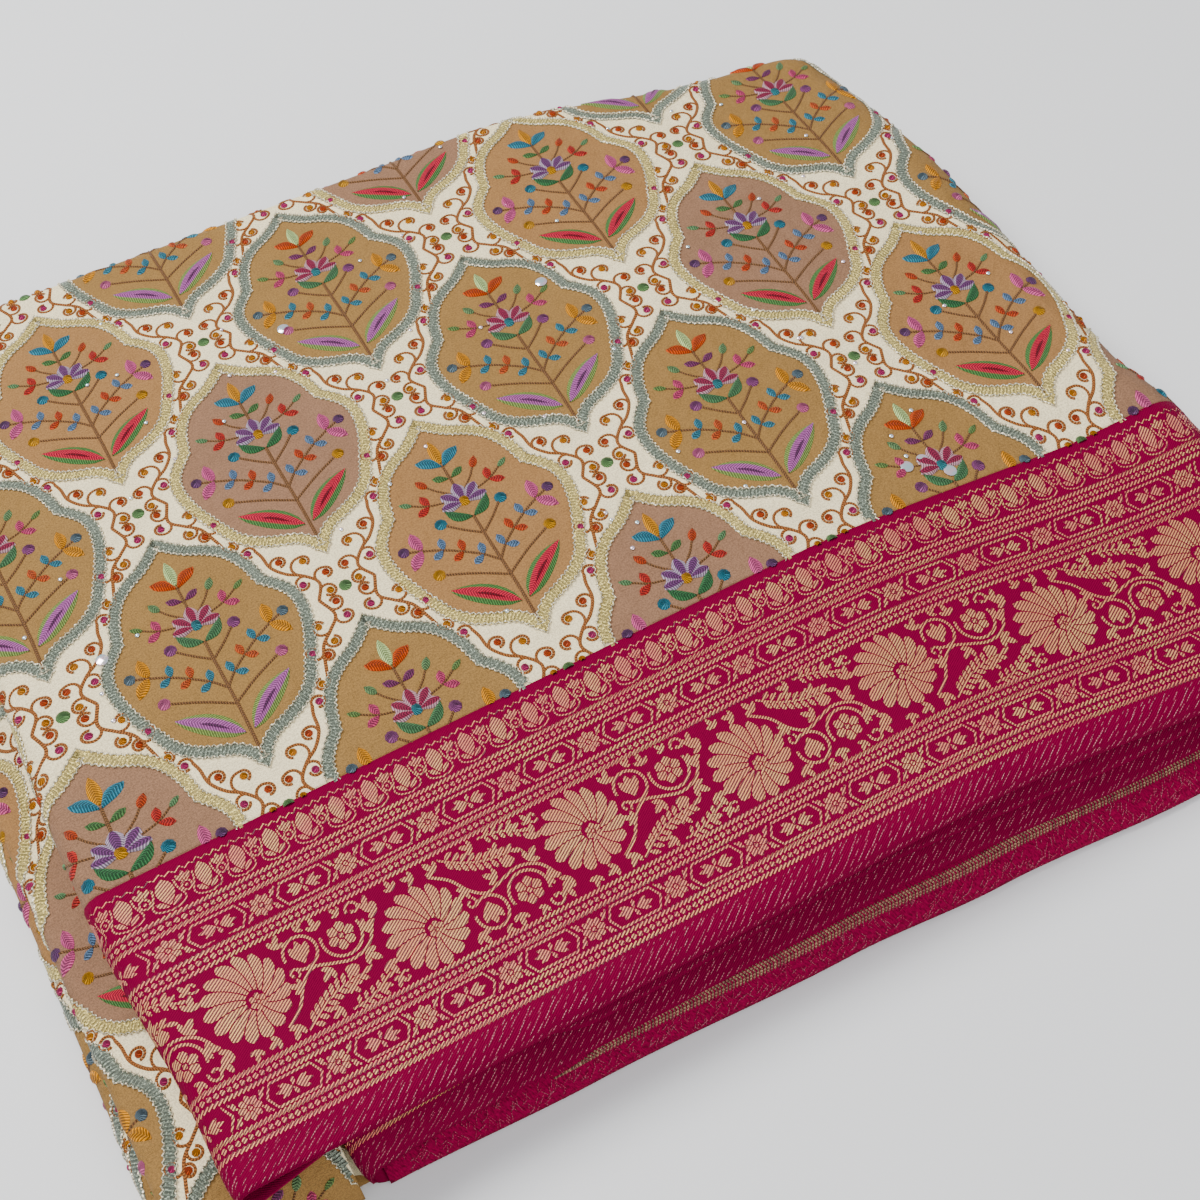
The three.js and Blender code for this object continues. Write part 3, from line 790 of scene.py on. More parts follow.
def make_under_field():
    """The strip below the top layer, which bends down into a nose at the front."""
    body = np.linspace(BACK_LEFT - 3, NOSE_START, 130)
    turns = np.radians(np.linspace(5, 86, 20))
    y = np.concatenate([body, NOSE_START - NOSE_LENGTH * np.sin(turns)])
    squash = np.concatenate([np.ones_like(body), np.cos(turns)])
    steps = np.hypot(np.diff(y), np.diff(squash * (UNDER_EDGE_Z + 5 - BASE)))
    t = y[0] - np.concatenate([[0], np.cumsum(steps)])
    right = (UNDER_INNER_X + UNDER_INNER_STEP * ease((y + 46) / 15))[:, None]
    run = mix(UNDER_EDGE_X, right, np.linspace(1, 0, 24)[:-1])
    run_z = under_surface(run, np.maximum(y, NOSE_START)[:, None])
    return folded_strip("under_field_cloth", y, t, run, run_z, (UNDER_EDGE_X, UNDER_EDGE_Z),
                        UNDER_FOLD_RADIUS, UNDER_RETURN, 12, squash, UNDER_OFFSET)


def make_lower_field():
    """The lowest fold, which lies on the table."""
    end = NOSE_START - NOSE_LENGTH * math.sin(math.radians(90 * 0.27))
    y = np.linspace(BACK_LEFT - 1, end, 120)
    run = LOWER_EDGE_X + LOWER_RETURN * np.linspace(1, 0, 5)[:-1] + np.zeros((120, 1))
    top = BASE + 2 * LOWER_FOLD_RADIUS
    return folded_strip("lower_field_cloth", y, y, run, top + 0 * run, (LOWER_EDGE_X, top),
                        LOWER_FOLD_RADIUS, LOWER_RETURN, 14, np.ones(120), LOWER_OFFSET)


def make_hidden_folds():
    """The hidden layers' outer faces, on the solid's own mesh with the cloth's coordinates."""
    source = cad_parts["hidden_layers"].data
    keys = {}
    index = [keys.setdefault(tuple(np.round(v.co, 6)), len(keys)) for v in source.vertices]
    corners = [[index[v] for v in polygon.vertices] for polygon in source.polygons]
    merged = np.array(list(keys), float)
    x, y, z = (merged / MM - SHIFT).T
    made = mesh_object("hidden_folds", merged, [c for c in corners if len(set(c)) == 3], None,
                       x, y + (z - FLOOR) * 2.2)
    made.data.materials.append(finish("embroidered_silk"))
    made["flat"] = [0.3, 0.66]
    made.modifiers.new("round", "SUBSURF").levels = 1
    return made


# Back folds, in metres: where the rays start and must end, how far two hits may lie apart, and the lift
BEHIND = 0.3
BACK_HALF = 0.02
FOLD_JUMP = 0.0045
BACK_LIFT = 0.0003
FACING = 0.12


def make_back_folds(folds):
    """The cloth that shows at the back: a grid laid on the ridges of the hidden folds from behind."""
    tree = BVHTree.FromObject(folds, bpy.context.evaluated_depsgraph_get())
    xs, zs = np.arange(-26, 284, 1.6), np.arange(0.4, 35.2, 0.42)
    points = np.full((len(xs), len(zs), 3), np.nan)
    out = np.zeros_like(points)
    for i, x in enumerate(xs):
        for j, z in enumerate(zs):
            start = Vector(((x + SHIFT[0]) * MM, BEHIND, z * MM))
            hit, normal, _, _ = tree.ray_cast(start, Vector((0, -1, 0)), BEHIND)
            if hit and hit.y > BACK_HALF and normal.y > FACING:
                points[i, j] = hit
                out[i, j] = normal
    gaps = np.nan_to_num(np.linalg.norm(np.diff(points, axis=1), axis=2))
    t = BACK_OFFSET[1] + np.concatenate([np.zeros((len(xs), 1)), np.cumsum(gaps, axis=1)], axis=1) / MM
    s = xs[:, None] + BACK_OFFSET[0] + 0 * t
    corners = grid_faces(len(xs), len(zs))
    depths = points[..., 1].ravel()[corners]
    faces = corners[depths.max(axis=1) - depths.min(axis=1) < FOLD_JUMP]
    made = mesh_object("back_folds_cloth", np.nan_to_num(points + out * BACK_LIFT), faces, {"out": out}, s, t)
    made.data.materials.append(finish("embroidered_silk"))
    shape = bmesh.new()
    shape.from_mesh(made.data)
    bmesh.ops.delete(shape, geom=[v for v in shape.verts if not v.link_faces], context="VERTS")
    shape.to_mesh(made.data)
    shape.free()
    return made


def compass(angle):
    """Unit steps in the directions of some angles."""
    return np.stack([np.cos(angle), np.sin(angle)], -1)


def sideways(steps):
    """Unit steps to the right of each given one."""
    ahead = steps / np.maximum(np.linalg.norm(steps, axis=-1, keepdims=True), 1e-9)
    return np.stack([ahead[..., 1], -ahead[..., 0]], -1)


def round_steps(path):
    """The step past each point of a closed path."""
    return np.roll(path, -1, 0) - np.roll(path, 1, 0)


class Chart:
    """Flat stitched shapes in cloth millimetres, gathered into one mesh."""

    def __init__(self):
        self.points = []
        self.faces = []
        self.tints = []
        self.stitches = []

    def patch(self, points, tints, stitches, wrap=False):
        """Adds a grid of rows and columns. A wrapped grid closes on its first column."""
        rows, cols = points.shape[:2]
        self.faces.extend((grid_faces(rows, cols, wrap) + len(self.points)).tolist())
        self.points.extend(points.reshape(-1, 3))
        self.tints.extend(np.broadcast_to(tints, (rows, cols, 3)).reshape(-1, 3))
        self.stitches.extend(stitches.reshape(-1, 2))

    def blade(self, base, tip, width, rim, heart=None, full=0.5, bow=0.0, rise=0.5, rows=6, blunt=0.06):
        """A petal or leaf from base to tip, widest at a share of its length and bowed sideways."""
        base = np.array(base, float)
        ahead = np.array(tip, float) - base
        length = np.hypot(*ahead)
        k = np.linspace(0, 1, rows)[:, None]
        arch = np.sin(math.pi * k)
        across = np.array([-1, -0.62, -0.48, 0, 0.48, 0.62, 1] if heart else [-1, -0.4, 0.4, 1])
        half = width / 2 * np.maximum(np.sin(math.pi * k ** (math.log(0.5) / math.log(full))) ** 0.66, blunt)
        points = np.zeros((rows, len(across), 3))
        off = across * half + bow * arch
        points[..., :2] = base + ahead * k[..., None] + sideways(ahead) * off[..., None]
        points[..., 2] = rise * np.sqrt(np.maximum(1 - across**2, 0)) * np.maximum(arch, 0.3) ** 0.5
        inner = (np.abs(across) < 0.55)[:, None]
        tints = np.where(inner, np.array(heart or rim), np.array(rim))
        self.patch(points, tints, np.stack([k * length + 0 * across, across * half], -1))

    def dash(self, base, tip, width, tint, rise):
        """One loose float of thread."""
        self.blade(base, tip, width, tint, None, 0.5, 0, rise, 3, 0.5)

    def ribbon(self, path, side, width, across, height, tint, join=False):
        """A strip along a path, from the steps across it and their heights. A joined one ends as it began."""
        points = np.zeros((len(path), len(across), 3))
        points[..., :2] = path[:, None] + side[:, None] * (across * width / 2)[:, None]
        points[..., 2] = height
        run = np.concatenate([[0], np.cumsum(np.hypot(*np.diff(path, axis=0).T))])[:, None]
        stitches = np.stack([run + 0 * across, across * width / 2 + 0 * run], -1)
        if join:
            points, stitches = (np.concatenate([rows, rows[:1]]) for rows in (points, stitches))
        self.patch(points, np.array(tint), stitches)

    def cord(self, path, width, tint, rise=0.3, step=1.0, smooth=True, close=False):
        """A raised line of stitches along a path."""
        path = curve_through(path, step) if smooth else np.array(path, float)
        steps = np.gradient(path, axis=0)
        if close:
            path, steps = (np.vstack([rows, rows[:1]]) for rows in (path, round_steps(path)))
        across = np.array([-1.0, 0.0, 1.0])
        self.ribbon(path, sideways(steps), width, across, rise * (1 - abs(across)), tint)

    def dot(self, centre, radius, rim, heart=None, rise=0.9, sides=9):
        """A round padded stitch."""
        rings = np.array([1.0, 0.72, 0.34, 0.02])[:, None]
        turn = np.linspace(0, math.tau, sides, endpoint=False)
        points = np.zeros((4, sides, 3))
        points[..., :2] = compass(turn)[::-1] * (rings * radius)[..., None] + np.array(centre)
        points[..., 2] = (rise * np.array([0, 0.62, 0.92, 1.0]))[:, None]
        tints = np.array([rim, rim, heart or rim, heart or rim])[:, None, :]
        self.patch(points, tints, np.stack([turn * rings * radius, 0 * turn + rings], -1), wrap=True)

    def mirrored(self):
        """Adds the same shapes turned over left to right."""
        count = len(self.points)
        self.points.extend([p * (-1, 1, 1) for p in self.points])
        self.tints.extend(self.tints[:count])
        self.stitches.extend(self.stitches[:count])
        self.faces.extend([[v + count for v in reversed(face)] for face in self.faces])

    def object(self, name):
        """The chart as a flat mesh in metres, for the nodes to repeat."""
        tints = np.insert(np.array(self.tints), 3, 1.0, axis=1)
        stitches = np.insert(np.array(self.stitches), 2, 0.0, axis=1)
        made = mesh_object(name, np.array(self.points) * MM, self.faces, {"stitch": stitches, "tint": tints})
        made.hide_render = True
        return made


def curve_through(path, step):
    """Points about a step apart on a smooth curve through the given ones."""
    path = np.array(path, float)
    padded = np.vstack([2 * path[0] - path[1], path, 2 * path[-1] - path[-2]])
    found = []
    for a, b, c, d in zip(padded, padded[1:], padded[2:], padded[3:]):
        count = max(2, int(np.hypot(*(c - b)) / step + 0.5))
        for q in np.arange(count) / count:
            bend = 2 * a - 5 * b + 4 * c - d + (3 * b - a - 3 * c + d) * q
            found.append(0.5 * (2 * b + (c - a) * q + bend * q * q))
    return np.array([*found, path[-1]])


def medallion_outline(step=1.3):
    """The whole outline of a medallion, going round, with its two tips and four cusps kept."""
    side = np.vstack([curve_through(arc, step)[:-1] for arc in OUTLINE])
    left = np.vstack([[OUTLINE[2][-1]], side[1:][::-1]]) * (-1, 1)
    return np.vstack([side, left])


def deep(tint, share):
    return tuple(c * share for c in tint)


def sprig(way):
    """One upright flower sprig, charted on its right-hand side and mirrored."""
    chart = Chart()

    def petal(base, tip, width, part, heart=None, full=0.5, bow=0.0, rise=0.6, rows=6):
        inner = deep(way[part], 0.62) if heart is None else heart
        chart.blade(base, tip, width, way[part], inner, full, bow, rise, rows)

    def twig(path, width=0.72):
        chart.cord(path, width, STEM, 0.34)

    petal((1.2, -27.2), (15.8, -15.8), 6.2, "rim", way["heart"], 0.46, -0.6, 0.7, 9)
    petal((4.0, -25.0), (11.6, -18.9), 1.5, "heart", deep(way["heart"], 0.3), 0.5, -0.3, 0.95)
    twig([(0, -18.6), (7.6, -14.0), (15.0, -10.4)])
    chart.dot((16.3, -9.8), 1.75, way["low"], deep(way["low"], 0.7))
    twig([(0, -13.4), (3.1, -9.8), (7.4, -6.3), (12.0, -3.2), (16.8, -0.8), (20.2, 0.6)])
    for (x, y), part in (((3.1, -9.8), "twig"), ((7.3, -6.3), "twig_mid"), ((11.8, -3.4), "twig")):
        petal((x, y), (x - 0.6, y + 3.9), 2.3, part, None, 0.58)
        petal((x + 0.2, y), (x + 3.5, y - 1.5), 2.3, part, None, 0.58)
    petal((16.8, -0.5), (17.4, 5.7), 3.3, "double", None, 0.5, 0.3, 0.7, 7)
    petal((16.9, -0.8), (21.4, -5.4), 3.3, "double", None, 0.5, -0.3, 0.7, 7)
    chart.dot((21.4, 1.2), 1.65, way["end"], deep(way["end"], 0.75))
    twig([(0, -3.6), (4.2, -0.2), (7.8, 3.3)])
    chart.dot((8.9, 4.4), 1.8, way["bud"], deep(way["bud"], 0.7))
    petal((0.2, 2.6), (6.2, 7.4), 3.0, "calyx", None, 0.5, 0.9, 0.7, 7)
    rose, pale = deep(way["flower"], 0.6), tuple(mix(c, 1.0, 0.36) for c in way["flower"])
    for tip, width in (((6.5, 8.4), 3.4), ((5.0, 12.4), 3.9)):
        chart.blade((0.4, 7.8), tip, width, pale, rose, 0.66, 0, 0.85, 7, 0.3)
    twig([(2.4, 9.8), (8.8, 11.4), (13.2, 13.9)], 0.6)
    petal((8.8, 11.3), (9.9, 15.3), 2.4, "pair", None, 0.58)
    petal((9.0, 11.2), (12.9, 9.6), 2.4, "pair", None, 0.58)
    petal((12.8, 13.7), (16.0, 15.6), 1.7, "tip")
    twig([(1.8, 11.8), (5.0, 14.8), (6.8, 17.2)], 0.6)
    petal((6.7, 17.0), (8.9, 20.4), 2.3, "slim")
    petal((0.4, 17.0), (4.4, 18.9), 2.3, "collar", None, 0.6)
    petal((0.2, 21.6), (6.2, 25.8), 3.5, "top", None, 0.58, -0.6, 0.8, 7)
    chart.mirrored()
    chart.cord([(0, -34.6), (0.2, -20), (0, -6), (0, 2.6)], 0.95, STEM, 0.42)
    chart.cord([(0, 13.8), (0, 22)], 0.8, STEM, 0.35, 2.0)
    chart.blade((0, 7.4), (0, 14.4), 4.2, pale, rose, 0.64, 0, 0.9, 7, 0.3)
    petal((0, 22.6), (0, 31.0), 3.1, "spire", None, 0.45, 0, 0.7, 8)
    chart.dot((0, 8.3), 1.7, way["eye"], deep(way["eye"], 0.7), 1.2)
    return chart


# One vine in two halves that hook into each other, and its seed dots: centre and colour
VINE_LOW = [(31, -1), (33.4, 4), (30.6, 8.2), (26.8, 11), (24, 15), (23.4, 19.4), (22.6, 22.0)]
VINE_HIGH = [(8, 49.5), (6.1, 43.6), (9, 40), (12.7, 36.4), (14.6, 31), (15.6, 27.6)]
CURLS = [
    (20.5, 22.3, MAGENTA), (26.6, 15.4, RUST), (32.3, 12.6, AMBER), (29.3, 5.6, MAGENTA),
    (36.2, 6.4, RUST), (34.9, 0.6, AMBER), (17.7, 26.5, AMBER), (12.8, 33.4, RUST),
    (16.2, 35.6, MAGENTA), (9.6, 36.4, AMBER), (11.6, 42.2, AMBER), (3.4, 42.0, MAGENTA), (4.2, 47.2, RUST),
]
CURL_SWEEP = 5.4
CURL_RADIUS = 1.62


def vines():
    """The scrolling stem-stitch vines of one cell with their seed dots, and the knot between tips."""
    chart = Chart()
    lines = [curve_through(VINE_LOW, 0.9), curve_through(VINE_HIGH, 0.9)]
    for line in lines:
        chart.cord(line, 0.95, VINE, 0.4, smooth=False)
    both = np.vstack(lines)
    ahead = np.vstack([np.gradient(line, axis=0) for line in lines])
    for x, y, tint in CURLS:
        centre = np.array([x, y])
        k = int(np.argmin(np.hypot(*(both - centre).T)))
        out = both[k] - centre
        hand = 1 if out[0] * ahead[k][1] - out[1] * ahead[k][0] > 0 else -1
        turn = math.atan2(out[1], out[0]) + hand * np.linspace(0, CURL_SWEEP, 18)
        radius = mix(np.hypot(*out), CURL_RADIUS, ease(np.linspace(0, 2.2, 18)))
        chart.cord(centre + compass(turn) * radius[:, None], 0.8, VINE, 0.36, smooth=False)
        chart.dot((x, y), 1.12, tint, deep(tint, 0.8), 0.85, 8)
    chart.mirrored()
    chart.dot((0, 50.5), 1.8, SAGE, deep(SAGE, 0.7), 0.8, 10)
    return chart


def band_chart(tint):
    """The metal band round one medallion."""
    chart = Chart()
    path = medallion_outline()
    across = np.linspace(-1, 1, 5)
    height = 0.35 * (1 - across**4)
    chart.ribbon(path, sideways(round_steps(path)), BAND_WIDTH, across, height, tint, join=True)
    return chart


def tinsel_chart():
    """Zigzag tinsel on both edges of one medallion's band."""
    chart = Chart()
    path = medallion_outline(0.85)
    zigzag = np.where(np.arange(len(path)) % 2, 0.3, -0.3)
    for edge in (-1, 1):
        line = path + sideways(round_steps(path)) * (edge * (BAND_WIDTH / 2 - 0.1) + zigzag)[:, None]
        chart.cord(line, 0.36, TINSEL, 0.4, smooth=False, close=True)
    return chart


# Lobed leaves of the main band: foot, direction in degrees and size, beside one fan flower
LEAVES = [
    (10.4, 9.4, 65, 3.6), (21.0, 9.4, 95, 3.4), (31.0, 4.4, 15, 3.6), (29.0, -1.2, -40, 4.0),
    (20.4, -0.8, 215, 3.6), (12.4, -1.6, 150, 3.2), (8.0, -9.0, 235, 3.6), (2.6, -9.9, 200, 3.2),
    (-3.0, -9.7, 250, 3.0), (-8.6, -7.0, 215, 3.6), (32.6, -5.4, -70, 3.8), (24.8, -2.0, -100, 3.0),
    (18.6, -10.2, 205, 3.2), (28.2, -11.0, 20, 3.0), (33.6, 8.6, 70, 3.4), (27.4, 10.4, 130, 2.6),
    (16.6, 11.2, 40, 2.4), (-10.6, 9.6, 120, 2.8), (36.6, 0.4, 30, 2.6), (22.6, -6.4, -60, 2.8),
]
MAIN_STEM = [
    (5.6, -8.6), (10.0, -5.4), (13.0, -1.0), (16.6, 1.4), (21.0, 0.2), (26.0, -1.0), (31.0, 0.8), (34.0, 5.6),
]

# A wedge petal of the fan flower: shares of its reach and of its full width there
FAN_REACH = [0.24, 0.4, 0.56, 0.7, 0.82, 0.92, 0.98, 1.03]
FAN_WIDTH = [0.9, 1, 1, 1, 0.96, 0.8, 0.5, 0.1]
FAN_RADIUS = 10.4
FAN_HUB = (1.9, -1.7)
FAN_PETALS = 15
FAN_GAP = 0.14
FAN_TWIST = 0.34

# Lines of the chains and of the edge row, drawn for one hand
LOZENGE = np.array([(-6.9, 0), (-5.2, 2.9), (5.2, 2.9), (6.9, 0)])
HUSK = [(0, -11.2), (2.4, -10.6), (3.5, -9.2), (2.5, -6.2), (2.3, -4.2)]
SCALLOP = [(0, -1.5), (1.1, -2.5), (2.2, -1.9), (3.3, -2.7), (4.45, -1.7)]
EDGE_COUNT = 10


class Brocade(Chart):
    """Woven shapes in one tint, which stand barely proud of the satin."""

    def __init__(self, tint):
        super().__init__()
        self.tint = tint

    def leaf(self, base, tip, width, full=0.62, rows=4, blunt=0.2, rise=FLOAT_RISE):
        self.blade(base, tip, width, self.tint, None, full, 0, rise, rows, blunt)

    def line(self, path, width, smooth=False):
        self.cord(path, width, self.tint, FLOAT_RISE, smooth=smooth)

    def bead(self, centre, radius, rise=FLOAT_RISE):
        self.dot(centre, radius, self.tint, None, rise, 6)

    def rosette(self, centre, radius, petals, turn=0.0):
        for k in range(petals):
            reach = compass(turn + math.tau * k / petals) * radius
            self.leaf(centre + reach * 0.28, centre + reach, radius * 4.4 / petals, blunt=0.3)
        self.bead(centre, radius * 0.2, 0.06)

    def fern(self, base, tip, bow, pairs, size):
        """A spray with leaves in pairs along a bowed stem."""
        run = tip - base
        ahead, side = run / np.hypot(*run), sideways(run)

        def stem(share):
            bend = np.sin(math.pi * share) * bow
            return base + np.multiply.outer(share, run) + np.multiply.outer(bend, side)

        self.line(stem(np.linspace(0, 1, 12)), 0.55)
        for k in range(pairs):
            foot = stem((k + 0.9) / (pairs + 0.9))
            for hand in (1, -1):
                out = ahead * 0.75 + side * hand * 0.85
                self.leaf(foot + out * 0.25, foot + out * size, size * 0.52, 0.58)
        self.leaf(tip - ahead * 0.4, tip + ahead * size, size * 0.5, 0.55)

    def curl(self, centre, radius, start, sweep, width=0.6):
        turn = np.radians(start) + np.linspace(0, math.radians(sweep), 16)
        ring = centre + compass(turn) * np.linspace(radius, radius * 0.45, 16)[:, None]
        self.line(ring, width)
        self.bead(ring[-1], width * 0.75)

    def fan_flower(self, centre):
        """A round flower whose wedge petals twist out of an off-centre hub, with fine gaps between."""
        hub = centre + FAN_HUB
        rims = centre + compass(math.tau * np.arange(FAN_PETALS + 1) / FAN_PETALS) * FAN_RADIUS - hub
        rows, taper = np.array(FAN_REACH)[:, None], np.array(FAN_WIDTH)[:, None]
        twist = FAN_TWIST * (rows - 1)
        across = np.array([-1, -0.4, 0.4, 1])
        for left, right in zip(rims[:-1], rims[1:]):
            middle, half = rows * (left + right) / 2, rows * (right - left) / 2
            size = np.hypot(half[:, :1], half[:, 1:])
            half = half * taper * np.maximum(size - FAN_GAP, 0.12) / size
            x, y = np.moveaxis(middle[:, None] + across[:, None] * half[:, None], 2, 0)
            points = np.zeros((len(rows), 4, 3))
            points[..., 0] = x * np.cos(twist) - y * np.sin(twist) + hub[0]
            points[..., 1] = x * np.sin(twist) + y * np.cos(twist) + hub[1]
            points[..., 2] = FLOAT_RISE * np.sqrt(1 - across**2)
            self.patch(points, np.array(self.tint), points[..., :2])
        self.rosette(hub, 2.1, 6, 0.4)

    def lobed_leaf(self, foot, degrees, size):
        for turn, reach, wide in ((0, 1.0, 0.44), (52, 0.72, 0.36), (-52, 0.72, 0.36)):
            tip = foot + compass(math.radians(degrees + turn)) * size * reach
            self.leaf(foot, tip, size * wide, 0.6, 5, 0.25)

    def guard(self, line):
        """Two rope lines with beads between them."""
        for edge in (-1.68, 1.68):
            for x in np.arange(0.6, PITCH, PITCH / 74):
                rope = line + edge
                self.leaf((x - 0.72, rope - 0.55), (x + 0.72, rope + 0.55), 0.74, 0.5, 3, 0.6, 0.04)
        for x in np.arange(0.8, PITCH, PITCH / 54):
            self.bead((x, line), 0.7)

    def chain(self, middle):
        """A lozenge with four-petalled leaves, and a rosette beside it between corner sprigs."""
        for hand in (1, -1):
            self.line(middle + LOZENGE * hand, 0.62)
            for up, reach in ((-1.5, 3.5), (0, 4.6), (1.5, 3.5)):
                self.leaf(middle + (0.5 * hand, 0), middle + (reach * hand, up), 1.25)
            self.leaf(middle + (-0.3, 0.2 * hand), middle + (0.3, 2.0 * hand), 1.1, 0.6)
        flower = middle + (PITCH / 8, 0)
        self.rosette(flower, 2.9, 8)
        for hand in ((-1, -1), (-1, 1), (1, -1), (1, 1)):
            corner = flower + np.multiply(hand, (3.4, 2.7))
            self.leaf(corner, corner + np.multiply(hand, (0.1, -1.7)), 1.2, 0.4)
            self.line([flower + np.multiply(hand, end) for end in ((2.6, 0.8), (4.6, 2.9))], 0.5)

    def edge_motif(self, x):
        """A pointed bud in a husk, a ringed cup beside it and a scalloped line above."""
        self.leaf((x, -9.7), (x, -2.9), 3.9, 0.56, 7, 0.1, 0.06)
        cup = x + PITCH / EDGE_COUNT / 2
        self.line((cup, -6.9) + compass(np.linspace(0, math.tau, 9)) * (1.15, 1.3), 0.5)
        self.bead((cup, -6.9), 0.42)
        for hand in (-1, 0, 1):
            self.leaf((cup + hand * 0.5, -5.5), (cup + hand * 1.5, -2.9 - abs(hand) * 0.7), 1.2)
        for hand in (1, -1):
            self.leaf((x + 0.4 * hand, -10.2), (x + 2.7 * hand, -8.3), 1.35, 0.6, blunt=0.15)
            self.line(np.array(HUSK) * (hand, 1) + (x, 0), 0.42, smooth=True)
            self.line(np.array(SCALLOP) * (hand, 1) + (x, 0), 0.34)

    def main_motif(self, x, flip):
        """Half of the main band's repeat: a fan flower, a ringed bud, a rosette, sprays and leaves."""

        def at(dx, dy):
            return np.array([x + dx, MAIN + dy * flip])

        def arc(dx, dy, radius, start, end):
            turn = np.radians(np.linspace(start, end, 24))
            return [at(dx + radius * math.cos(a), dy + radius * math.sin(a)) for a in turn]

        self.fan_flower(at(0, 2.0))
        self.line(arc(15.4, 6.0, 4.1, -130, 190), 0.75)
        for tip in ((13.2, 8.0), (15.4, 9.0), (17.6, 8.0)):
            self.leaf(at(15.4, 3.4), at(*tip), 2.1, 0.65, 5)
        self.rosette(at(25.8, 5.4), 3.5, 6, 0.3)
        self.line(arc(25.8, 5.4, 5.0, -200, 20), 0.75)
        self.line([at(*p) for p in MAIN_STEM], 0.75, smooth=True)
        self.fern(at(9.6, -11.2), at(26.6, -5.2), -1.6 * flip, 9, 2.6)
        self.fern(at(20.6, -11.6), at(31.0, -8.6), 0.8 * flip, 5, 2.1)
        for dx, dy, degrees, size in LEAVES:
            self.lobed_leaf(at(dx, dy), degrees * flip, size)
        self.curl(at(31.0, 10.2), 1.9, 200 * flip, -320 * flip, 0.7)
        self.curl(at(12.0, 2.0), 1.4, 300 * flip, 290 * flip)
        self.curl(at(35.0, -10.4), 1.5, 40 * flip, 300 * flip)


def brocade():
    """One repeat of the woven border: guards, chains, edge row and the main band."""
    chart = Brocade(tuple(bpy.context.scene.saree.zari))
    for line in GUARDS:
        chart.guard(line)
    for line in CHAINS:
        for k in range(4):
            chart.chain(np.array([(k + 0.5) * PITCH / 4, line]))
    for k in range(EDGE_COUNT):
        chart.edge_motif((k + 0.5) * PITCH / EDGE_COUNT)
    chart.tint = tuple(bpy.context.scene.saree.zari_gold)
    chart.main_motif(10.0, 1)
    chart.main_motif(10.0 + PITCH / 2, -1)
    return chart


# Rows of floats on the selvedge: line, count and length
SELVEDGE_ROWS = [(-71.4, 44, 1.6), (-72.8, 38, 3.0), (-74.5, 38, 3.4), (-76.1, 42, 3.4), (-77.9, 60, 2.2)]
FLOAT_LIGHT, FLOAT_DARK = np.array((0.95, 0.34, 0.40)), np.array((0.50, 0.02, 0.12))
LADDER_GOLD, LADDER_BROWN = np.array((0.58, 0.36, 0.20)), np.array((0.30, 0.14, 0.10))
HAIR_BRIGHT, HAIR_DULL = np.array((0.62, 0.03, 0.13)), np.array((0.66, 0.16, 0.24))


def selvedge(seed):
    """Slanted float stitches on the plain crimson edge of one repeat."""
    chart = Chart()
    draw = np.random.default_rng(seed)
    for line, count, long in SELVEDGE_ROWS:
        shift = draw.uniform(0, 2)
        for x in np.linspace(0.5, PITCH - 0.5, count):
            x = x + shift + draw.uniform(-0.5, 0.5)
            y = line + draw.uniform(-0.35, 0.35)
            size = long * draw.uniform(0.45, 1.1)
            tint = tuple(mix(FLOAT_DARK, FLOAT_LIGHT, draw.uniform(0.1, 0.9)))
            chart.dash((x, y), (x + size * 0.82, y + size * 0.56), 0.2, tint, 0.08)
    return chart


def wrong_side(seed):
    """The gold ladder and loose hairs on the wrong side of the border's lowest fold."""
    chart = Chart()
    draw = np.random.default_rng(seed)
    step = 0.95
    for x in np.arange(66, 293, step):
        low = WRONG_SIDE_T + float(mix(6.4, 8.2, ease((x - 20) / 270)))
        tall = 3.1 * float(ease((x - 64) / 26))
        tint = tuple(mix(LADDER_GOLD, LADDER_BROWN, draw.uniform(0, 1)))
        chart.dash((x, low), (x + step, low + tall * 0.55), 0.62, tint, 0.22)
        chart.dash((x + step, low + tall * 0.5), (x, low + tall), 0.62, tint, 0.22)
    for x in np.arange(26, 292, 0.34):
        y = WRONG_SIDE_T + 0.6 + draw.uniform(0, 6.6)
        size = draw.uniform(0.9, 2.6)
        lean = draw.choice([-0.5, 0.35, 0.8, 1.1]) + draw.uniform(-0.2, 0.2)
        tint = tuple(mix(HAIR_BRIGHT, HAIR_DULL, draw.uniform(0, 1)))
        chart.dash((x, y), (x + size * math.sin(lean), y + size * math.cos(lean)), 0.17, tint, 0.25)
    return chart


# Large sequins that show, in s and t of the field
SEQUINS = [(225.3, 11.4), (230.4, 11.6), (235.0, 5.8), (99.7, 143.1), (13.6, 61.2), (171.0, 118.4)]


def sequins(count, seed):
    """Foil discs: a few large ones, and small ones along the vines."""
    chart = Chart()
    draw = np.random.default_rng(seed)
    for place in SEQUINS:
        chart.dot(place, 1.75, colour(236, 232, 238), None, 0.3, 12)
    for _ in range(count):
        x, y = draw.uniform(-20, 330), draw.uniform(4, 205)
        chart.dot((x, y), 0.62, colour(232, 200, 130), None, 0.25, 8)
    return chart


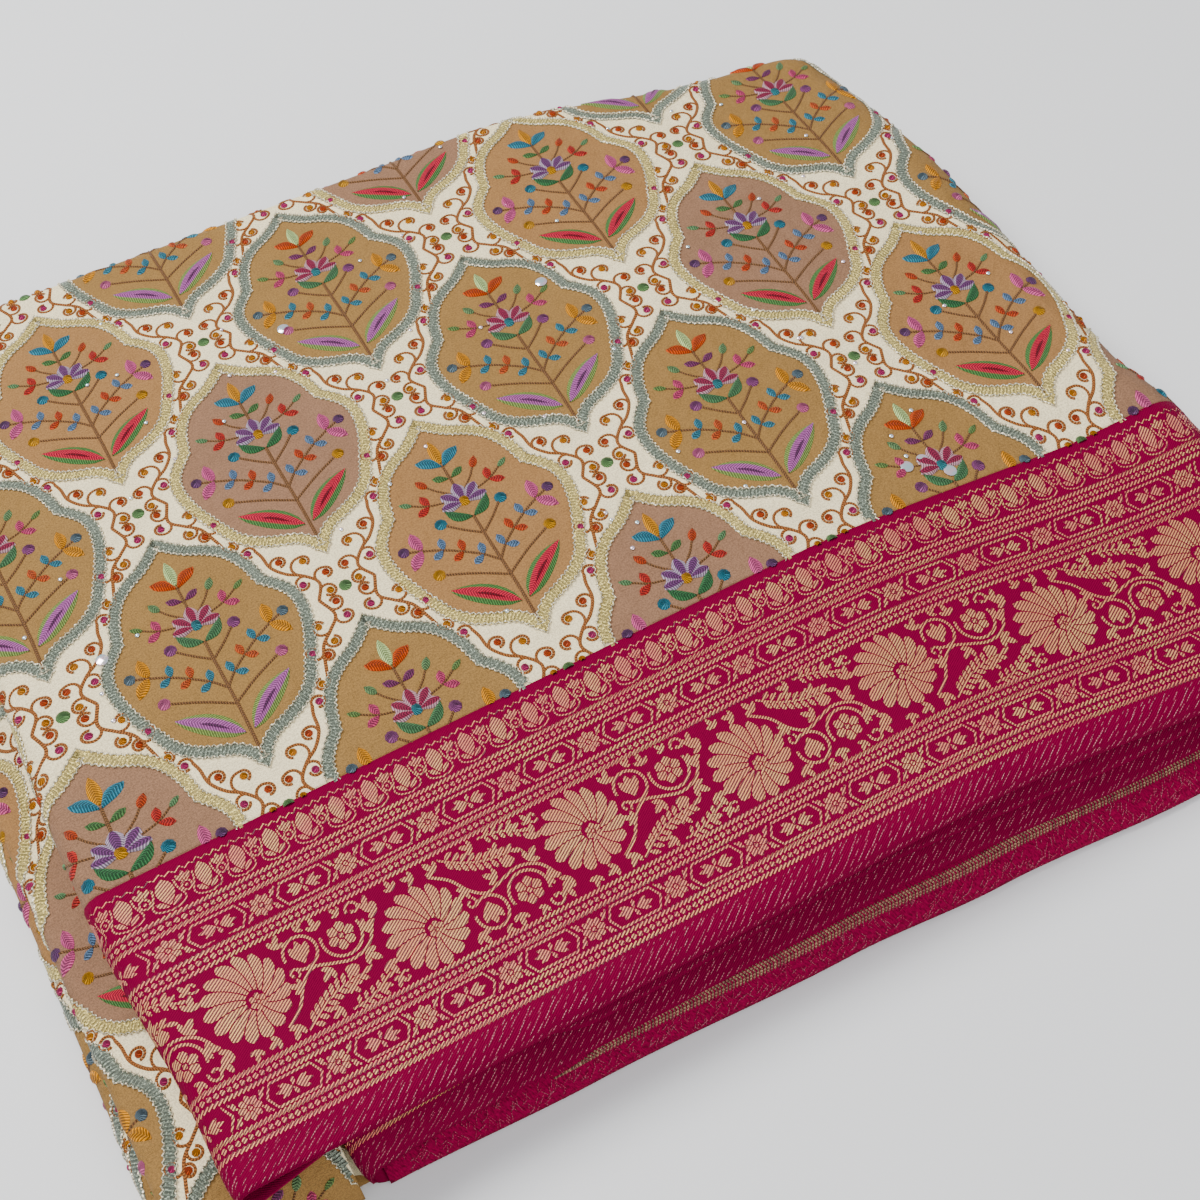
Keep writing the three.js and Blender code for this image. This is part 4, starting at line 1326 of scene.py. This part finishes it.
def repeat_tree():
    """Nodes that repeat a flat chart over a lattice and lay it on a cloth by its coordinates."""
    tree = bpy.data.node_groups.new("chart_on_cloth", "GeometryNodeTree")
    for name, kind in (
        ("Geometry", "Geometry"), ("Chart", "Object"), ("Cloth", "Object"), ("Step Along", "Float"),
        ("Step Across", "Float"), ("Count Along", "Int"), ("Count Across", "Int"), ("First", "Vector"),
        ("Lift", "Float"), ("Finish", "Material"),
    ):
        tree.interface.new_socket(name, in_out="INPUT", socket_type=f"NodeSocket{kind}")
    tree.interface.new_socket("Geometry", in_out="OUTPUT", socket_type="NodeSocketGeometry")
    graph = Graph(tree)
    given = {socket.name: Value(graph, socket) for socket in graph.node("NodeGroupInput").outputs}

    def named(name, kind="FLOAT_VECTOR"):
        return graph.value("GeometryNodeInputNamedAttribute", {"data_type": kind}, {"Name": name})

    def vector_math(operation, first, second):
        return graph.value("ShaderNodeVectorMath", {"operation": operation}, {0: first, **second})

    width = (given["Count Along"] - 1) * given["Step Along"]
    depth = (given["Count Across"] - 1) * given["Step Across"]
    grid = graph.value("GeometryNodeMeshGrid", {}, {
        "Vertices X": given["Count Along"], "Vertices Y": given["Count Across"],
        "Size X": width, "Size Y": depth,
    })
    start = vector_math("ADD", graph.vector(width * 0.5, depth * 0.5), {1: given["First"]})
    moved = graph.value("GeometryNodeSetPosition", {}, {"Geometry": grid, "Offset": start})
    chart = graph.value("GeometryNodeObjectInfo", {}, {"Object": given["Chart"]}, "Geometry")
    spread = graph.value("GeometryNodeInstanceOnPoints", {}, {"Points": moved, "Instance": chart})
    real = graph.value("GeometryNodeRealizeInstances", {}, {"Geometry": spread})
    place = graph.value("GeometryNodeInputPosition")
    kept = graph.value("GeometryNodeStoreNamedAttribute", {"data_type": "FLOAT_VECTOR", "domain": "POINT"}, {
        "Geometry": real, "Name": "lay", "Value": place,
    })
    s, t, up = graph.split(place)
    span = UV_SPAN * MM
    uv = graph.vector(s / span + UV_FIRST[0] / UV_SPAN, t / span + UV_FIRST[1] / UV_SPAN)
    cloth = graph.value("GeometryNodeObjectInfo", {}, {"Object": given["Cloth"]}, "Geometry")
    cloth_uv = named("cloth")

    def sampled(field):
        return graph.node("GeometryNodeSampleUVSurface", {"data_type": "FLOAT_VECTOR"}, {
            "Mesh": cloth, "Value": field, "UV Map": cloth_uv, "Sample UV": uv,
        }).outputs

    surface, out = sampled(graph.value("GeometryNodeInputPosition")), sampled(named("out"))
    raised = vector_math("SCALE", out[0], {"Scale": up + given["Lift"]})
    final = vector_math("ADD", surface[0], {1: raised})
    missed = graph.value("FunctionNodeBooleanMath", {"operation": "NOT"}, {0: surface["Is Valid"]})
    marked = graph.value("GeometryNodeStoreNamedAttribute", {"data_type": "BOOLEAN", "domain": "POINT"}, {
        "Geometry": kept, "Name": "off", "Value": missed,
    })
    laid = graph.value("GeometryNodeSetPosition", {}, {"Geometry": marked, "Position": final})
    trimmed = graph.value("GeometryNodeDeleteGeometry", {"domain": "POINT"}, {
        "Geometry": laid, "Selection": named("off", "BOOLEAN"),
    })
    dressed = graph.value("GeometryNodeSetMaterial", {}, {"Geometry": trimmed, "Material": given["Finish"]})
    graph.node("NodeGroupOutput", {}, {0: dressed})
    return tree


def settle(piece):
    """Keeps what a piece's modifiers make as its plain mesh, with every point above the table."""
    graph = bpy.context.evaluated_depsgraph_get()
    mesh = bpy.data.meshes.new_from_object(piece.evaluated_get(graph))
    piece.modifiers.clear()
    piece.data = mesh
    points = np.zeros(len(mesh.vertices) * 3, np.float32)
    mesh.vertices.foreach_get("co", points)
    points[2::3] = np.maximum(points[2::3], TABLE_CLEAR)
    mesh.vertices.foreach_set("co", points)
    mesh.shade_smooth()


def stitch_on(name, drawn, cloth, surface, lift=0.05, starts=((0, 0),), step=(1, 1), count=(1, 1)):
    """Repeats a chart on a cloth with the nodes, from each of its start points."""
    tree = bpy.data.node_groups.get("chart_on_cloth") or repeat_tree()
    chart = drawn.object(f"{name}_chart")
    laid = []
    for k, (x, y) in enumerate(starts):
        carrier = bpy.data.objects.new(f"{name}_{k}", bpy.data.meshes.new(name))
        bpy.context.scene.collection.objects.link(carrier)
        modifier = carrier.modifiers.new("repeat", "NODES")
        modifier.node_group = tree
        values = {
            "Chart": chart, "Cloth": cloth, "Step Along": step[0] * MM, "Step Across": step[1] * MM,
            "Count Along": count[0], "Count Across": count[1],
            "First": (x * MM, y * MM, 0.0), "Lift": lift * MM, "Finish": finish(surface),
        }
        for item in tree.interface.items_tree:
            if item.in_out == "INPUT" and item.name in values:
                modifier[item.identifier] = values[item.name]
        settle(carrier)
        laid.append(carrier)
    bpy.data.objects.remove(chart)
    return laid


def joined(name, parts):
    """Several laid meshes as one piece."""
    for empty in [p for p in parts if not len(p.data.polygons)]:
        parts.remove(empty)
        bpy.data.objects.remove(empty)
    first = parts[0]
    if len(parts) > 1:
        with bpy.context.temp_override(active_object=first, selected_editable_objects=parts):
            bpy.ops.object.join()
    first.name = name
    first.data.name = name
    return first


def embroider(prefix, cloth):
    """All the raised embroidery of one stretch of field."""
    a, b = REPEAT_ALONG, REPEAT_ACROSS
    wide, tight = ((2 * a, 2 * b), (4, 3)), ((a, b), (8, 5))
    green = [(a, 0), (0, b), (a / 2, b / 2), (a * 1.5, b * 1.5)]
    gold = [(0, 0), (a, b), (a * 1.5, b / 2), (a / 2, b * 1.5)]
    both = [(0, 0), (a / 2, b / 2)]
    made = {}
    for part, kind, drawn, surface, lift, starts, (step, count) in (
        ("sprigs", "green", sprig(GREEN_WAY), "silk_floss", 0.05, green, wide),
        ("sprigs", "gold", sprig(GOLD_WAY), "silk_floss", 0.05, gold, wide),
        ("bands", "green", band_chart(BAND_GREEN), "crimped_tinsel", 0.04, green, wide),
        ("bands", "gold", band_chart(BAND_GOLD), "crimped_tinsel", 0.04, gold, wide),
        ("vines", "all", vines(), "silk_floss", 0.05, both, tight),
        ("tinsel", "all", tinsel_chart(), "crimped_tinsel", 0.3, both, tight),
    ):
        starts = [(x - 2 * a, y - 2 * b) for x, y in starts]
        laid = stitch_on(f"{prefix}_{kind}_{part}", drawn, cloth, surface, lift, starts, step, count)
        made.setdefault(part, []).extend(laid)
    return [joined(f"{prefix}_{part}", parts) for part, parts in made.items()]


def weave_border(prefix, cloth, seed):
    """The brocade and the selvedge floats of one stretch of border."""
    made = []
    for part, drawn, surface, lift in (
        ("brocade", brocade(), "gold_zari", 0.07),
        ("selvedge", selvedge(seed), "silk_floss", 0.05),
    ):
        name = f"{prefix}_{part}"
        laid = stitch_on(name, drawn, cloth, surface, lift, [(-PITCH, 0)], (PITCH, 1), (5, 1))
        made.append(joined(name, laid))
    return made


def hem(piece, thickness=SHELL):
    """Gives an open sheet its thickness on the inner side."""
    solid = piece.modifiers.new("thickness", "SOLIDIFY")
    solid.thickness = thickness * MM
    solid.offset = -1
    settle(piece)


def declare(cloth, pieces, node):
    """Parents a cloth and the pieces on it to the root empty, and hides the solid of the given node."""
    for piece in (cloth, *pieces):
        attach(piece, "root")
    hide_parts(node)


class SareeSizes(bpy.types.PropertyGroup):
    """Sizes that a user would change."""

    key_power: FloatProperty(
        name="Key light", description="Power of the large lamp", default=21.5, unit="POWER")
    fill_power: FloatProperty(
        name="Fill light", description="Power of the soft lamp", default=11.0, unit="POWER")
    sequins: IntProperty(
        name="Sequins", description="Small sequins scattered on the field", default=70, min=0)
    world_tint: FloatVectorProperty(
        name="Room light", description="Colour of the light all round", subtype="COLOR", default=ROOM_TINT)
    ivory: FloatVectorProperty(
        name="Ivory", description="Ground of the field", subtype="COLOR", default=IVORY)
    ochre: FloatVectorProperty(
        name="Ochre", description="Ground inside the green medallions", subtype="COLOR", default=OCHRE)
    mauve: FloatVectorProperty(
        name="Mauve", description="Ground inside half of the gold medallions", subtype="COLOR", default=MAUVE)
    peach: FloatVectorProperty(
        name="Peach", description="Ground inside the other gold medallions", subtype="COLOR", default=PEACH)
    crimson: FloatVectorProperty(
        name="Crimson", description="Border satin", subtype="COLOR", default=CRIMSON)
    zari: FloatVectorProperty(
        name="Rose zari", description="Thread of the narrow rows", subtype="COLOR", default=ZARI)
    zari_gold: FloatVectorProperty(
        name="Gold zari", description="Thread of the main band", subtype="COLOR", default=ZARI_GOLD)


class SAREE_OT_stage(bpy.types.Operator):
    """Make the pale table, the soft lamps and the camera"""

    bl_idname = "saree.stage"
    bl_label = "Stage"

    def execute(self, context):
        sizes = context.scene.saree
        corners = [(x * TABLE_HALF, y * TABLE_HALF, 0) for x, y in ((-1, -1), (1, -1), (1, 1), (-1, 1))]
        floor = mesh_object("table_top", corners, [(0, 1, 2, 3)])
        floor.data.materials.append(finish("pale_table"))
        for name, place_m, energy, width in (
            ("key_lamp", (-0.4, 0.62, 1.08), sizes.key_power, 0.6),
            ("fill_lamp", (0.2, -1.0, 0.9), sizes.fill_power, 1.2),
        ):
            lamp = bpy.data.lights.new(name, "AREA")
            lamp.energy = energy
            lamp.size = width
            holder = bpy.data.objects.new(name, lamp)
            holder.location = place_m
            holder.rotation_euler = (-Vector(place_m)).to_track_quat("-Z", "Y").to_euler()
            context.scene.collection.objects.link(holder)
        world = bpy.data.worlds.new("soft_room")
        world.use_nodes = True
        background = world.node_tree.nodes["Background"]
        background.inputs["Color"].default_value = (*sizes.world_tint, 1)
        background.inputs["Strength"].default_value = ROOM_LIGHT
        context.scene.world = world
        camera = bpy.data.cameras.new("camera")
        camera.lens = CAMERA_LENS
        camera.sensor_width = 36
        camera.clip_start = 0.01
        holder = bpy.data.objects.new("camera", camera)
        turn = Matrix((CAMERA_RIGHT, CAMERA_UP, CAMERA_BACK)).transposed().to_4x4()
        holder.matrix_world = Matrix.Translation(Vector((np.array(CAMERA_AT) + SHIFT) * MM)) @ turn
        context.scene.collection.objects.link(holder)
        context.scene.camera = holder
        return {"FINISHED"}


class SAREE_OT_top(bpy.types.Operator):
    """Make the top layer: the embroidered field and the brocade border"""

    bl_idname = "saree.top"
    bl_label = "Top layer"

    def execute(self, context):
        field = make_field_cloth()
        pieces = embroider("field", field)
        foil = sequins(context.scene.saree.sequins, 3)
        pieces.append(joined("field_sequins", stitch_on("field_sequins", foil, field, "sequin_foil", 0.35)))
        border = make_border_cloth()
        woven = weave_border("border", border, 5)
        hem(field)
        declare(field, pieces, "top_field")
        hem(border)
        declare(border, woven, "top_border")
        return {"FINISHED"}


class SAREE_OT_front(bpy.types.Operator):
    """Make the border layers that show below the top one at the front"""

    bl_idname = "saree.front"
    bl_label = "Front layers"

    def execute(self, context):
        middle, second = make_middle_border(), make_second_border()
        woven = weave_border("middle", middle, 7)
        hem(middle)
        declare(middle, woven, "middle_border")
        woven = weave_border("second", second, 11)
        back = make_second_return()
        woven.append(joined("second_hairs", stitch_on("second_hairs", wrong_side(13), back, "silk_floss")))
        hem(back)
        woven.append(back)
        hem(second)
        declare(second, woven, "second_border")
        return {"FINISHED"}


class SAREE_OT_under(bpy.types.Operator):
    """Make the field layers that show at the left, and the folds of the hidden ones"""

    bl_idname = "saree.under"
    bl_label = "Under layers"

    def execute(self, context):
        hidden = make_hidden_folds()
        hem(hidden)
        back = make_back_folds(hidden)
        pieces = [back, *embroider("back", back)]
        hem(back, 0.25)
        declare(hidden, pieces, "hidden_layers")
        for cloth, node, prefix in (
            (make_under_field(), "under_field", "under"), (make_lower_field(), "lower_field", "lower"),
        ):
            pieces = embroider(prefix, cloth)
            hem(cloth)
            declare(cloth, pieces, node)
        return {"FINISHED"}


class SAREE_PT_panel(bpy.types.Panel):
    """Lists the saree's operators in the sidebar"""

    bl_label = "Folded Saree"
    bl_idname = "SAREE_PT_panel"
    bl_space_type = "VIEW_3D"
    bl_region_type = "UI"
    bl_category = "Saree"

    def draw(self, context):
        for name in SareeSizes.__annotations__:
            self.layout.prop(context.scene.saree, name)
        for operator in OPERATORS:
            self.layout.operator(operator.bl_idname)


OPERATORS = (SAREE_OT_stage, SAREE_OT_under, SAREE_OT_front, SAREE_OT_top)
CLASSES = (SareeSizes, *OPERATORS, SAREE_PT_panel)


def register():
    for item in CLASSES:
        bpy.utils.register_class(item)
    bpy.types.Scene.saree = PointerProperty(type=SareeSizes)


def unregister():
    del bpy.types.Scene.saree
    for item in reversed(CLASSES):
        bpy.utils.unregister_class(item)


def main():
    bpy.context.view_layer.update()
    register()
    bpy.ops.saree.stage()
    bpy.ops.saree.under()
    bpy.ops.saree.front()
    bpy.ops.saree.top()


if __name__ == "__main__":
    main()
